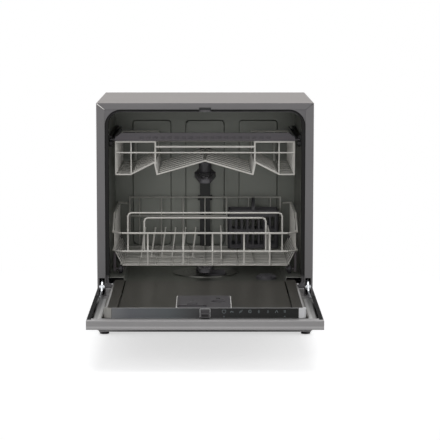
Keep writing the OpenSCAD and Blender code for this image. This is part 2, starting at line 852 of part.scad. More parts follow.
module control_board() {
    x0 = -board_w / 2;
    y0 = 20;
    low = foot_h + base_t + seat;
    top = low + 24;
    plugs = 5;
    pitch = board_w * 0.11;
    color([0.16, 0.16, 0.17]) {
        block([x0, y0, low], [x0 + board_w, y0 + board_l, top]);
        block([x0 + 10, y0 + 10, top - eps], [x0 + board_w / 3, y0 + board_l / 2, top + 8]);
        for (i = [1 : plugs])
            block([-x0 - i * pitch, y0 + board_l * 0.75, top - eps], [-x0 - 3 - (i - 1) * pitch, y0 + board_l * 0.92, top + 6]);
    }
}

// Flat water chamber between the tub and the left panel
module air_break() {
    x0 = -half_w + sheet_t + seat;
    x1 = -tub_hw - tub_t - seat;
    y0 = tub_back - chamber_l - 100;
    z0 = track_z + 6;
    bays = 6;
    rib = 7;
    pitch = (chamber_l - rib) / bays;
    color([0.88, 0.88, 0.86]) difference() {
        block([x0, y0, z0], [x1, y0 + chamber_l, z0 + chamber_h]);
        for (i = [0 : bays - 1])
            block([x0 - cut, y0 + rib + i * pitch, z0 + 20], [x0 + 6, y0 + (i + 1) * pitch, z0 + chamber_h - 20]);
    }
}

module inner_hoses() {
    d = 17;
    pump_x = -sump_r - 16 - seat - 13;
    drain_pump_x = sump_r + 12 + seat + 11;
    back = rear_y - sheet_t - 3 - d / 2 - 1;
    pipe_y = pipe_back - pipe_d / 2;
    color([0.13, 0.13, 0.13]) {
        wire([
            [pump_x, sump_y + pump_reach + seat, outlet_z], [pump_x, pipe_y - 30, outlet_z],
            [-30, pipe_y, outlet_z], [0, pipe_y, outlet_z + 8], [0, pipe_y, tub_floor_z - 24 - seat]
        ], d);
        wire([
            [drain_pump_x, sump_y + drain_reach + seat, drain_z], [drain_pump_x, back - 60, drain_z],
            [drain_x, back - 12, drain_z + 8], [drain_x, back - 6, port_z],
            [drain_x, rear_y - sheet_t - seat, port_z]
        ], 15);
    }
}

// Folded steel tray that forms the door's outside, drawn in its open position
module door_outer_panel() {
    tip = -door_tip;
    foot = -door_foot_gap;
    wall_in = side_flange + 1;
    color([0.55, 0.55, 0.55]) {
        block([-half_w, tip, door_out_z], [half_w, foot, door_out_z + sheet_t]);
        both_sides() block([half_w - sheet_t, tip, door_out_z], [half_w, foot, door_rim_z]);
        block([-half_w, tip, door_out_z], [half_w, tip + sheet_t, door_rim_z]);
        block([-half_w + wall_in, foot - sheet_t, door_out_z], [half_w - wall_in, foot, door_rim_z]);
        block([-half_w, tip, door_rim_z - sheet_t], [half_w, tip + ledge_len - 3, door_rim_z]);
    }
}

module liner_section(inset) {
    top = liner_top_z - inset;
    hw = liner_hw - liner_in - inset;
    base = liner_hw - inset;
    polygon([
        [-base, liner_flange_z - cut * inset], [-base, liner_flange_z + 2], [-hw - 2, top - 4], [-hw + 2, top],
        [-hw + rail_w, top], [-hw + rail_w + 4, top - liner_drop],
        [hw - rail_w - 4, top - liner_drop], [hw - rail_w, top],
        [hw - 2, top], [hw + 2, top - 4], [base, liner_flange_z + 2], [base, liner_flange_z - cut * inset]
    ]);
}

// The inner door's box, with rounded corners at the door's upper edge
module liner_box(inset) {
    y0 = -liner_tip + inset;
    y1 = -liner_foot - inset;
    hw = liner_hw - inset;
    r = liner_tip_r - inset;
    low = liner_flange_z - cut;
    intersection() {
        along_y(y0, y1) liner_section(inset);
        translate([0, 0, low]) linear_extrude(liner_top_z - low + cut) {
            translate([-hw - cut, y0 + r]) square([2 * (hw + cut), y1 - y0]);
            translate([-strip_hw, y0 - cut]) square([2 * strip_hw, r + 2 * cut]);
            for (s = [-1, 1]) translate([s * strip_hw, y0 + r]) circle(r);
        }
    }
}

// Stainless inner door with a wheel rail along each side
module door_liner() {
    t = 1.5;
    y1 = -liner_foot;
    y0 = -liner_tip;
    flange_x = half_w - sheet_t - seat;
    color([0.5, 0.5, 0.49]) difference() {
        union() {
            liner_box(0);
            block([-flange_x, y0, liner_flange_z], [flange_x, -arm_root - 4, liner_flange_z + t]);
            block([-liner_hw, y1 - t, liner_flange_z], [liner_hw, -door_foot_gap - sheet_t - seat, liner_flange_z + t]);
        }
        liner_box(t);
        dispenser_place() translate([0, 0, -40]) linear_extrude(60)
            round_rect(dispenser_w - 10, dispenser_l - 10, 8);
    }
}

dispenser_x = -3;
dispenser_y = -liner_tip + 10 + dispenser_l / 2;
plate_z = liner_top_z - liner_drop;

module dispenser_place() {
    translate([dispenser_x, dispenser_y, plate_z]) children();
}

module control_strip() {
    y = -liner_tip - seat;
    front = y - strip_t;
    low = door_rim_z + seat;
    color([0.1, 0.1, 0.11]) {
        block([-strip_hw, front, low], [strip_hw, y, liner_top_z - 0.5]);
        block([-strip_hw, front - 1.2, low], [strip_hw, front + eps, low + 1.5]);
    }
}

module latch_striker() {
    y = -liner_tip - strip_t - 2 * seat;
    low = door_rim_z + 2;
    high = liner_top_z - 4;
    loop_high = door_rim_z + 14;
    color([0.3, 0.3, 0.3]) difference() {
        union() {
            block([-striker_hw, y - 1.6, low], [striker_hw, y, high]);
            block([-striker_hw, y - striker_reach, low + 1], [striker_hw, y - 1.6 + eps, loop_high]);
        }
        block([-striker_hw + 3.5, y - striker_reach - cut, low + 4], [striker_hw - 3.5, y - 1.6, loop_high - 3]);
    }
}

cup_hw = 27;
cup_hl = 34;
cup_cx = -27;
cup_cy = -28;
lid_t = 2.2;
lid_travel = 66;
rinse_x = 34;
rinse_y = 8;

// Moulded plate with a detergent cup, lid guides and the rinse aid filler
module dispenser_body() {
    depth = 20;
    plate = 2;
    wall = 1.8;
    color([0.32, 0.32, 0.33]) dispenser_place() difference() {
        union() {
            linear_extrude(plate) round_rect(dispenser_w, dispenser_l, 10);
            translate([cup_cx, cup_cy, -depth]) linear_extrude(depth + eps)
                round_rect(2 * (cup_hw + wall), 2 * (cup_hl + wall), 8);
            translate([rinse_x, rinse_y, -depth + 2]) cylinder(r = rinse_cap_r + 1, h = depth - 2 + eps);
            for (s = [-1, 1])
                translate([cup_cx + s * (cup_hw + 5), 0, plate - eps])
                    linear_extrude(lid_t + 0.6) translate([-1.2, -dispenser_l / 2 + 16])
                        square([2.4, dispenser_l - 32]);
        }
        translate([cup_cx, cup_cy, -depth + wall]) linear_extrude(depth + plate)
            round_rect(2 * cup_hw, 2 * cup_hl, 6.5);
        translate([rinse_x, rinse_y, -depth + 6]) cylinder(r = 9, h = depth + 10);
        translate([rinse_x, rinse_y, plate - 1]) cylinder(r = rinse_cap_r + 0.6, h = 3);
    }
}

module dispenser_lid() {
    z = 2 + 0.1;
    hw = cup_hw + 3.5;
    color([0.4, 0.4, 0.41]) dispenser_place() translate([cup_cx, cup_cy, z]) difference() {
        union() {
            linear_extrude(lid_t) round_rect(2 * hw, 2 * (cup_hl + 4), 5);
            for (i = [0 : 3]) translate([-12, -cup_hl + 4 + i * 4, lid_t - eps]) cube([24, 1.6, 0.8]);
        }
        translate([0, cup_hl - 8, lid_t - 0.8]) cylinder(r = 5, h = 2);
    }
}

module rinse_aid_cap() {
    z = 2 - 1 + 0.1;
    color([0.45, 0.45, 0.46]) dispenser_place() translate([rinse_x, rinse_y, z]) {
        cylinder(r = rinse_cap_r, h = 2.4);
        translate([0, 0, -9]) cylinder(r = 8.6, h = 9 + eps);
        rotate([0, 0, 20]) translate([-rinse_cap_r + 3, -1.5, 2.4 - eps]) cube([2 * rinse_cap_r - 6, 3, 1.4]);
    }
}

// Front and rear mats of the lower basket, with the two front hoops
module lower_basket_ends() {
    hw = basket_hw - corner - 1.8;
    low = basket_floor_z;
    f = basket_front_y;
    color([0.72, 0.71, 0.68]) {
        for (z = [rim_z, band_z]) wire([[-hw, f, z], [hw, f, z]], wire_d);
        for (x = front_posts) rod([x, f, rim_z + 1], [x, f, low], wire_d - 0.6);
        hoop(f + wire_d - 0.8, hoop_hw, hoop_z);
        hoop(f + wire_d - 0.8, hoop_hw - 42, hoop_z - 13);
        for (z = [rim_z, band_z]) wire([[-hw, back_y, z], [hw, back_y, z]], wire_d);
        wire([[-hw + 6, back_y, band_z - 1], [-hw + 6, back_y, hoop_z], [hw - 6, back_y, hoop_z],
            [hw - 6, back_y, band_z - 1]], wire_d - 0.6);
        for (x = rear_posts) rod([x, back_y, hoop_z - 1], [x, back_y, low], grid_d);
    }
}

front_posts = [-147, -56, 19, 100, 166];
rear_posts = [-180, -120, -60, 0, 60, 120, 180];
hoop_hw = 198;

module hoop(y, hw, top) {
    r = 9;
    wire([
        [-hw, y, band_z - 1], [-hw, y, top - r], [-hw + r * 0.3, y, top - r * 0.3], [-hw + r, y, top],
        [hw - r, y, top], [hw - r * 0.3, y, top - r * 0.3], [hw, y, top - r], [hw, y, band_z - 1]
    ], wire_d - 0.6);
}

// Side mats: rim, band and cross wires that slope in to the floor
module lower_basket_sides() {
    f = basket_front_y;
    x0 = basket_hw - corner + seat / 2;
    n = 7;
    step = (lower_len - 2 * corner - 20) / n;
    color([0.72, 0.71, 0.68]) both_sides() {
        wire([
            [x0, f, rim_z], [basket_hw, f + corner, rim_z], [basket_hw, f + corner + side_rise_len, rim_z + side_rise],
            [basket_hw, back_y - corner, rim_z + side_rise], [x0, back_y, rim_z + side_rise - 4]
        ], wire_d);
        wire([
            [x0, f, band_z], [basket_hw, f + corner, band_z], [basket_hw, back_y - corner, band_z],
            [x0, back_y, band_z]
        ], wire_d);
        rod([floor_hw + grid_d + 0.2, mat_y0, basket_floor_z], [floor_hw + grid_d + 0.2, mat_y1, basket_floor_z], grid_d);
        for (i = [0 : n]) {
            y = f + corner + 10 + i * step;
            top = rim_z + min(side_rise, side_rise * (y - f - corner) / side_rise_len) - 1;
            x = basket_hw - wire_d / 2 - grid_d / 2 + 0.8;
            wire([
                [x, y, top], [x, y, band_z], [floor_hw + grid_d + 1, y, basket_floor_z]
            ], grid_d);
        }
    }
}

cutlery_x = floor_hw - 12 - cutlery_w;
cutlery_y = back_y - wire_d / 2 - 4 - cutlery_l;

function floor_x(i) = -floor_hw + i * 2 * floor_hw / floor_wires;

module lower_basket_floor() {
    z = basket_floor_z;
    ny = 12;
    hw = floor_hw;
    color([0.72, 0.71, 0.68]) {
        for (i = [0 : floor_wires]) rod([floor_x(i), mat_y0, z], [floor_x(i), mat_y1, z], grid_d);
        for (j = [0 : ny]) {
            y = mat_y0 + 4 + j * (mat_y1 - mat_y0 - 8) / ny;
            rod([-hw - 1, y, z - grid_d + 0.8], [hw + 1, y, z - grid_d + 0.8], grid_d);
        }
    }
}

// Rows of tines that stand on the floor wires
module plate_tines() {
    d = grid_d;
    z = basket_floor_z + grid_d + 0.2;
    lean = tine_h * 0.13;
    row_x = floor_hw - 36;
    row_y = basket_front_y + 60;
    across = 5;
    along = floor((cutlery_y - row_y - 24) / tine_pitch);
    color([0.74, 0.73, 0.7]) {
        for (y = [basket_front_y + lower_len * 0.29, basket_front_y + lower_len * 0.63]) {
            rod([-row_x, y, z], [-row_x + 16 + across * tine_pitch, y, z], d);
            for (i = [0 : across]) translate([-row_x + 8 + i * tine_pitch, y, z])
                rod([0, 0, -0.4], [lean, 0, tine_h], d - 0.2);
        }
        for (x = [floor_x(6), floor_x(9)]) {
            rod([x, row_y, z], [x, row_y + 16 + along * tine_pitch, z], d);
            for (i = [0 : along]) translate([x, row_y + 8 + i * tine_pitch, z])
                rod([0, 0, -0.4], [0, lean, tine_h], d - 0.2);
        }
    }
}

module wheel_brackets() {
    x0 = basket_hw - wire_d / 2 - 3;
    top = band_z - wire_d / 2 - seat;
    low = axle_z - 6;
    color([0.33, 0.33, 0.34]) both_sides() for (y = wheel_ys) {
        along_x(x0, x0 + bracket_t) {
            translate([y - bracket_w / 2, axle_z + 6]) square([bracket_w, top - axle_z - 6]);
            translate([y - 9, low]) square([18, 20]);
        }
        block([x0 - 4, y - bracket_w / 2, top - 5], [x0 + eps, y + bracket_w / 2, top]);
        x_pin(wheel_x - wheel_w / 2 - 1, x0 + eps, y, axle_z, axle_r);
        x_pin(wheel_x - wheel_w / 2 - 3, wheel_x - wheel_w / 2 - 0.8, y, axle_z, axle_r + 2);
    }
}

module wheel(y) {
    groove = 1;
    hw = wheel_w / 2;
    color([0.2, 0.2, 0.2]) translate([wheel_x, y, axle_z]) rotate([0, 90, 0]) rotate_extrude() polygon([
        [axle_r + pin_gap, -hw], [wheel_r - 4, -hw], [wheel_r - 3.5, -hw + groove],
        [wheel_r - 1, -hw + groove], [wheel_r, -hw + groove + 1], [wheel_r, hw - groove - 1],
        [wheel_r - 1, hw - groove], [wheel_r - 3.5, hw - groove], [wheel_r - 4, hw], [axle_r + pin_gap, hw]
    ]);
}

module wheel_front_left() { mirror([1, 0, 0]) wheel(wheel_ys[0]); }
module wheel_front_right() { wheel(wheel_ys[0]); }
module wheel_rear_left() { mirror([1, 0, 0]) wheel(wheel_ys[1]); }
module wheel_rear_right() { wheel(wheel_ys[1]); }

// Moulded basket with slotted walls for the cutlery
module cutlery_basket() {
    x0 = cutlery_x;
    x1 = x0 + cutlery_w;
    y0 = cutlery_y;
    y1 = y0 + cutlery_l;
    z0 = basket_floor_z + grid_d / 2 + seat;
    h = cutlery_h;
    wall = 2.2;
    slot_h = h * 0.32;
    mid = (x0 + x1) / 2;
    n = 8;
    step = (x1 - x0 - 16) / n;
    color([0.45, 0.45, 0.46]) {
        difference() {
            translate([mid, (y0 + y1) / 2, z0]) linear_extrude(h) round_rect(x1 - x0, y1 - y0, 8);
            translate([mid, (y0 + y1) / 2, z0 + wall]) linear_extrude(h)
                round_rect(x1 - x0 - 2 * wall, y1 - y0 - 2 * wall, 8 - wall);
            for (i = [0 : n - 1], z = [z0 + h * 0.11, z0 + h * 0.5])
                block([x0 + 10 + i * step, y0 - cut, z], [x0 + 5 + (i + 1) * step, y1 + cut, z + slot_h]);
        }
        block([mid - 1.5, y0 + 1, z0 + 1], [mid + 1.5, y1 - 1, z0 + h - 2]);
        along_x(mid - 4, mid + 4) difference() {
            translate([(y0 + y1) / 2, z0 + h - 3]) circle((y1 - y0) / 2 - 4);
            translate([(y0 + y1) / 2, z0 + h - 3]) circle((y1 - y0) / 2 - 9);
            translate([y0, z0 + h - 3 - 60]) square([y1 - y0, 60]);
        }
    }
}

// Outline of the upper basket's floor: a bin at each side and a ridge in the middle
function upper_profile() = [
    [-upper_hw, upper_floor_z], [-bin_x, upper_floor_z], [-bay_x - 4, upper_floor_z + ridge_h - 4],
    [-bay_x + 3, upper_floor_z], [0, upper_floor_z + ridge_h], [bay_x - 3, upper_floor_z],
    [bay_x + 4, upper_floor_z + ridge_h - 4], [bin_x, upper_floor_z], [upper_hw, upper_floor_z]
];

module upper_end(y) {
    hw = upper_hw - 3;
    r = upper_rim_z;
    low = r - rim_drop;
    k = hw / upper_hw;
    post_d = wire_d - 0.6;
    rod([-bay_x - 1, y, low], [bay_x + 1, y, low], wire_d);
    rod([-hw, y, mid_z], [hw, y, mid_z], grid_d);
    zigzag([for (p = upper_profile()) [p[0] * k, y, p[1]]], wire_d - 0.8);
    for (s = [-1, 1]) {
        rod([s * (bay_x - 1), y, r], [s * (hw + 1), y, r], wire_d);
        rod([s * hw, y, upper_floor_z - 1], [s * hw, y, r], post_d);
        rod([s * (bin_x - 4), y, upper_floor_z + 1.5], [s * (bin_x - 4), y, r - 1], grid_d - 0.5);
        rod([s * bay_x, y, upper_floor_z + 24], [s * bay_x, y, r + 1], post_d);
    }
}

module upper_basket_ends() {
    color([0.74, 0.73, 0.7]) {
        upper_end(basket_front_y + 3);
        upper_end(upper_back_y - 3);
    }
}

module upper_basket_sides() {
    y0 = basket_front_y + 3 + wire_d / 2 + seat;
    y1 = upper_back_y - 3 - wire_d / 2 - seat;
    n = 7;
    x = upper_hw - 3;
    step = (y1 - y0 - 12) / n;
    color([0.74, 0.73, 0.7]) both_sides() {
        rod([x, y0, upper_rim_z], [x, y1, upper_rim_z], wire_d);
        rod([x, y0, mid_z], [x, y1, mid_z], grid_d);
        rod([x, y0, upper_floor_z + 5], [x, y1, upper_floor_z + 5], grid_d);
        for (i = [0 : n])
            rod([x - 2.6, y0 + 6 + i * step, upper_floor_z + 5], [x - 2.6, y0 + 6 + i * step, upper_rim_z], grid_d);
    }
}

// Eight flat mats: bins, slopes and ridge, each hung on its own long wires
module upper_basket_floor() {
    y0 = basket_front_y + 3 + wire_d / 2 + seat;
    y1 = upper_back_y - 3 - wire_d / 2 - seat;
    n = 6;
    step = (y1 - y0 - 12) / n;
    long_d = grid_d + 0.4;
    pts = [
        [upper_hw - 6, upper_floor_z], [bin_x - 5, upper_floor_z], [bay_x, upper_floor_z + ridge_h - 4],
        [bay_x - 6, upper_floor_z], [long_d / 2 + seat, upper_floor_z + ridge_h]
    ];
    color([0.74, 0.73, 0.7]) both_sides() {
        for (p = pts) rod([p[0], y0, p[1]], [p[0], y1, p[1]], long_d);
        for (m = [0 : len(pts) - 2]) {
            run = (pts[m + 1] - pts[m]) / norm(pts[m + 1] - pts[m]);
            a = pts[m] + run * (m == 0 ? -0.7 : grid_d * 0.8);
            b = pts[m + 1] + run * 0.7;
            for (i = [0 : n]) rod([a[0], y0 + 6 + i * step, a[1]], [b[0], y0 + 6 + i * step, b[1]], grid_d);
        }
    }
}

// Tapered trim with a row of slots on the front rim
module upper_basket_trim() {
    y0 = basket_front_y - 2;
    t = 6;
    z = upper_rim_z + wire_d / 2 + seat;
    hw = upper_hw;
    taper = 18;
    pitch = 18;
    color([0.2, 0.2, 0.21]) {
        difference() {
            along_y(y0, y0 + t) polygon([
                [-hw, z], [hw, z], [hw - 3, z + trim_h * 0.45], [hw - taper, z + trim_h],
                [-hw + taper, z + trim_h], [-hw + 3, z + trim_h * 0.45]
            ]);
            for (i = [-9 : 9])
                translate([i * pitch, y0 + t, z + trim_h * 0.4]) rotate([90, 0, 0])
                    linear_extrude(1.5) round_rect(11, 5, 2.4);
        }
        block([-hw + 3, y0 + t - eps, z], [hw - 3, y0 + t + 8, z + 2.5]);
    }
}

module upper_basket_runners() {
    z = runner_z;
    y0 = basket_front_y + 14;
    y1 = upper_back_y - 2;
    x0 = upper_hw - 3;
    color([0.3, 0.3, 0.31]) both_sides() {
        block([x0, y0, z], [tub_hw - 3.5, y1, z + runner_t]);
        block([x0, y0, z], [x0 + 2.5, y1, z + runner_t + 7]);
    }
}

// Water tube under the ridge, from the rear port to the upper arm's shaft
module upper_manifold() {
    end = pipe_back - pipe_d - 8 - 0.8;
    hub_h = manifold_z - upper_arm_z - arm_t - 0.6;
    color([0.33, 0.33, 0.34]) {
        y_pin(0, manifold_z, arm_y - 16, end, manifold_r);
        y_pin(0, manifold_z, end - 14, end, manifold_r + 4);
        translate([0, arm_y, 0]) {
            cylinder_at(upper_arm_z + arm_t + 0.8, 17, hub_h);
            cylinder_at(upper_arm_z - 0.6, shaft_r, arm_t + 4);
            cylinder_at(upper_arm_z - 5, 15, 4.5);
        }
        for (y = [arm_y - 12, end - 40])
            block([-manifold_r - 3, y, manifold_z - 4], [manifold_r + 3, y + 12, manifold_z + manifold_r + 1]);
    }
}

top_panel();
left_side_panel();
right_side_panel();
front_frame();
back_panel();
base_tray();
plinth();
levelling_feet();
tub_wrap();
tub_back_wall();
tub_floor();
tub_seal();
latch_keeper();
sump();
filter_plate();
filter_cup();
lower_arm_hub();
lower_spray_arm();
feed_pipe();
upper_rails();
upper_roller_left();
upper_roller_right();
hinge_brackets();
door_springs();
wash_pump();
drain_pump();
softener_tank();
softener_cap();
inlet_valve();
air_break();
inner_hoses();
water_inlet();
drain_outlet();
power_inlet();
control_board();
door_outer_panel();
door_liner();
hinge_arms();
control_strip();
latch_striker();
dispenser_body();
dispenser_lid();
rinse_aid_cap();
lower_basket_ends();
lower_basket_sides();
lower_basket_floor();
plate_tines();
wheel_brackets();
wheel_front_left();
wheel_front_right();
wheel_rear_left();
wheel_rear_right();
cutlery_basket();
upper_basket_ends();
upper_basket_sides();
upper_basket_floor();
upper_basket_trim();
upper_basket_runners();
upper_manifold();
upper_spray_arm();
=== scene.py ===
import json
import math
import bpy
from mathutils import Matrix, Vector

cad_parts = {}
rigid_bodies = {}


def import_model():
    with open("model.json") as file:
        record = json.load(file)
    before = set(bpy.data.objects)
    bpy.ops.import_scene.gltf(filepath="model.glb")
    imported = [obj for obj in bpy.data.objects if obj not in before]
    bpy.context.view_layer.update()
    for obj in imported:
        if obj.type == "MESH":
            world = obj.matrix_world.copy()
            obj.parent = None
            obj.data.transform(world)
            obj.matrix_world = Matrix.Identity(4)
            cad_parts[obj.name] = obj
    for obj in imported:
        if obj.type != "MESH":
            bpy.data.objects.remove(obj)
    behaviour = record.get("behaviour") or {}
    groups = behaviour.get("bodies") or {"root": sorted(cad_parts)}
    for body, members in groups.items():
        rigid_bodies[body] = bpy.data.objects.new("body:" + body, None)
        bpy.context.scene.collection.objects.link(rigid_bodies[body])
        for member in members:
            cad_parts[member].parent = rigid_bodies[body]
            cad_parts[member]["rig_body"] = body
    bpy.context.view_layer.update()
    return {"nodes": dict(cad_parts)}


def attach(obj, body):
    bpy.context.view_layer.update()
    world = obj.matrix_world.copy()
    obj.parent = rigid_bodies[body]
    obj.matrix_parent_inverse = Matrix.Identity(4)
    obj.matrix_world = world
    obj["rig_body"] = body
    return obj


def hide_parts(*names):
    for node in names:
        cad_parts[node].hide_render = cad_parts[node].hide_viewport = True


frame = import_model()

# The photographer's camera: a long lens a little above the appliance, looking slightly down.
# The studio round it is plain white, with a wide soft light overhead, a weaker one in front of it
# and a third on the right.
scene = bpy.context.scene
scene.view_settings.view_transform = "Standard"
lens = bpy.data.cameras.new("camera")
lens.lens = 153.4
lens.sensor_width = 36
lens.shift_x = 0.034
lens.clip_end = 50
camera = bpy.data.objects.new("camera", lens)
scene.collection.objects.link(camera)
camera.location = (0, -4.731, 0.8935)
tilt_down = 7.178
camera.rotation_euler = (math.radians(90 - tilt_down), 0, 0)
scene.camera = camera


def softbox(name, place, aim, width, height, watts):
    lamp = bpy.data.lights.new(name, "AREA")
    lamp.shape = "RECTANGLE"
    lamp.size = width
    lamp.size_y = height
    lamp.energy = watts
    light = bpy.data.objects.new(name, lamp)
    scene.collection.objects.link(light)
    light.location = place
    light.rotation_euler = (Vector(aim) - Vector(place)).to_track_quat("-Z", "Y").to_euler()


softbox("overhead_softbox", (0.1, -0.2, 3.2), (0, 0.1, 0.5), 2.6, 2.2, 36)
softbox("front_softbox", (-1.4, -4.0, 1.8), (0, 0, 0.35), 1.8, 1.8, 26)
softbox("right_softbox", (3.0, -1.6, 1.4), (0, 0, 0.3), 1.2, 2.0, 12)

world = bpy.data.worlds.new("studio")
scene.world = world
world.use_nodes = True
sky = world.node_tree
sky.nodes.clear()
rays = sky.nodes.new("ShaderNodeLightPath")
camera_or_gloss = sky.nodes.new("ShaderNodeMath")
camera_or_gloss.operation = "MAXIMUM"
or_through = sky.nodes.new("ShaderNodeMath")
or_through.operation = "MAXIMUM"
fill = sky.nodes.new("ShaderNodeBackground")
fill.inputs["Color"].default_value = (0.97, 0.98, 1.0, 1)
fill.inputs["Strength"].default_value = 0.36
white = sky.nodes.new("ShaderNodeBackground")
white.inputs["Color"].default_value = (1, 1, 1, 1)
white.inputs["Strength"].default_value = 1.0
choice = sky.nodes.new("ShaderNodeMixShader")
sky_out = sky.nodes.new("ShaderNodeOutputWorld")
sky.links.new(rays.outputs["Is Camera Ray"], camera_or_gloss.inputs[0])
sky.links.new(rays.outputs["Is Glossy Ray"], camera_or_gloss.inputs[1])
sky.links.new(camera_or_gloss.outputs[0], or_through.inputs[0])
sky.links.new(rays.outputs["Is Transmission Ray"], or_through.inputs[1])
sky.links.new(or_through.outputs[0], choice.inputs["Fac"])
sky.links.new(fill.outputs[0], choice.inputs[1])
sky.links.new(white.outputs[0], choice.inputs[2])
sky.links.new(choice.outputs[0], sky_out.inputs["Surface"])

# The white paper that the appliance stands on. It keeps the shadow and fades to plain white round it.
# It belongs to the studio and not to the object.
bpy.ops.object.select_all(action="DESELECT")
bpy.ops.mesh.primitive_plane_add(size=12, location=(0, 0, 0))
paper = bpy.context.object
paper.name = "studio_paper"
paper_white = bpy.data.materials.new("paper_white")
paper_white.use_nodes = True
tree = paper_white.node_tree
tree.nodes.clear()
paper_rays = tree.nodes.new("ShaderNodeLightPath")
spot = tree.nodes.new("ShaderNodeTexCoord")
reach = tree.nodes.new("ShaderNodeVectorMath")
reach.operation = "LENGTH"
spread = tree.nodes.new("ShaderNodeMapRange")
spread.inputs["From Min"].default_value = 0.5
spread.inputs["From Max"].default_value = 1.25
spread.interpolation_type = "SMOOTHSTEP"
seen_far = tree.nodes.new("ShaderNodeMath")
seen_far.operation = "MULTIPLY"
matt = tree.nodes.new("ShaderNodeBsdfDiffuse")
matt.inputs["Color"].default_value = (0.9, 0.9, 0.9, 1)
lift = tree.nodes.new("ShaderNodeEmission")
lift.inputs["Strength"].default_value = 0.62
unlit = tree.nodes.new("ShaderNodeEmission")
unlit.inputs["Strength"].default_value = 0.0
plain = tree.nodes.new("ShaderNodeEmission")
plain.inputs["Strength"].default_value = 1.0
near_glow = tree.nodes.new("ShaderNodeMixShader")
near = tree.nodes.new("ShaderNodeAddShader")
fade = tree.nodes.new("ShaderNodeMixShader")
paper_out = tree.nodes.new("ShaderNodeOutputMaterial")
tree.links.new(spot.outputs["Object"], reach.inputs[0])
tree.links.new(reach.outputs["Value"], spread.inputs["Value"])
tree.links.new(spread.outputs["Result"], seen_far.inputs[0])
tree.links.new(paper_rays.outputs["Is Camera Ray"], seen_far.inputs[1])
tree.links.new(paper_rays.outputs["Is Camera Ray"], near_glow.inputs["Fac"])
tree.links.new(unlit.outputs[0], near_glow.inputs[1])
tree.links.new(lift.outputs[0], near_glow.inputs[2])
tree.links.new(matt.outputs[0], near.inputs[0])
tree.links.new(near_glow.outputs[0], near.inputs[1])
tree.links.new(seen_far.outputs[0], fade.inputs["Fac"])
tree.links.new(near.outputs[0], fade.inputs[1])
tree.links.new(plain.outputs[0], fade.inputs[2])
tree.links.new(fade.outputs[0], paper_out.inputs["Surface"])
paper.data.materials.append(paper_white)


# Base tray: one black polypropylene moulding with a fine spark grain, clipped into the side panels.
# It carries the works and the four screw-in feet, which end in flared rubber pads.
mm = 0.001


def chip(red, green, blue):
    """A paint chip's sRGB numbers as the linear colour that a shader wants."""
    return tuple(((c / 255 + 0.055) / 1.055) ** 2.4 if c > 10 else c / 255 / 12.92
                 for c in (red, green, blue))


def new_material(name, colour, rough, metal=0.0):
    material = bpy.data.materials.new(name)
    material.use_nodes = True
    shader = material.node_tree.nodes["Principled BSDF"]
    shader.inputs["Base Color"].default_value = (*colour, 1)
    shader.inputs["Roughness"].default_value = rough
    shader.inputs["Metallic"].default_value = metal
    return material


def pattern_place(material, stretch=(1, 1, 1)):
    nodes = material.node_tree.nodes
    where = nodes.new("ShaderNodeTexCoord")
    mapping = nodes.new("ShaderNodeMapping")
    mapping.inputs["Scale"].default_value = stretch
    material.node_tree.links.new(where.outputs["Object"], mapping.inputs["Vector"])
    return mapping.outputs["Vector"]


def mottle(material, colour, spread, scale):
    """Slow change of tone over the surface."""
    nodes = material.node_tree.nodes
    links = material.node_tree.links
    noise = nodes.new("ShaderNodeTexNoise")
    noise.inputs["Scale"].default_value = scale
    noise.inputs["Detail"].default_value = 4
    links.new(pattern_place(material), noise.inputs["Vector"])
    ramp = nodes.new("ShaderNodeValToRGB")
    ramp.color_ramp.elements[0].position = 0.3
    ramp.color_ramp.elements[1].position = 0.7
    ramp.color_ramp.elements[0].color = (*[c * (1 - spread) for c in colour], 1)
    ramp.color_ramp.elements[1].color = (*[min(1, c * (1 + spread)) for c in colour], 1)
    links.new(noise.outputs["Fac"], ramp.inputs["Fac"])
    links.new(ramp.outputs["Color"], nodes["Principled BSDF"].inputs["Base Color"])


def grain(material, scale, strength, depth, stretch=(1, 1, 1), rough=None):
    """Fine relief, and with rough a change of gloss that follows it."""
    nodes = material.node_tree.nodes
    links = material.node_tree.links
    noise = nodes.new("ShaderNodeTexNoise")
    noise.inputs["Scale"].default_value = scale
    noise.inputs["Detail"].default_value = 3
    links.new(pattern_place(material, stretch), noise.inputs["Vector"])
    bump = nodes.new("ShaderNodeBump")
    bump.inputs["Strength"].default_value = strength
    bump.inputs["Distance"].default_value = depth
    links.new(noise.outputs["Fac"], bump.inputs["Height"])
    links.new(bump.outputs["Normal"], nodes["Principled BSDF"].inputs["Normal"])
    if rough:
        gloss = nodes.new("ShaderNodeMapRange")
        gloss.inputs["To Min"].default_value = rough[0]
        gloss.inputs["To Max"].default_value = rough[1]
        links.new(noise.outputs["Fac"], gloss.inputs["Value"])
        links.new(gloss.outputs["Result"], nodes["Principled BSDF"].inputs["Roughness"])


def moulding(name, colour, rough, spark=1500):
    """Injection-moulded plastic with a fine spark grain."""
    material = new_material(name, colour, rough)
    mottle(material, colour, 0.06, 18)
    grain(material, spark, 0.25, 0.00015, rough=(rough - 0.06, rough + 0.08))
    return material


def dress(material, slot, *names):
    """Gives CAD nodes whose shape is right their finish."""
    for name in names:
        node = frame["nodes"][name]
        node.data.materials.clear()
        node.data.materials.append(material)


def take(piece):
    """Leaves one piece selected and active."""
    bpy.ops.object.select_all(action="DESELECT")
    piece.select_set(True)
    bpy.context.view_layer.objects.active = piece


def open_faces(piece, wanted):
    """Opens a piece for editing with the faces that pass the test selected."""
    take(piece)
    bpy.ops.object.mode_set(mode="EDIT")
    bpy.ops.mesh.select_mode(type="FACE")
    bpy.ops.mesh.select_all(action="DESELECT")
    bpy.ops.object.mode_set(mode="OBJECT")
    for face in piece.data.polygons:
        face.select = bool(wanted(face))
    bpy.ops.object.mode_set(mode="EDIT")


def close_up():
    bpy.ops.object.mode_set(mode="OBJECT")


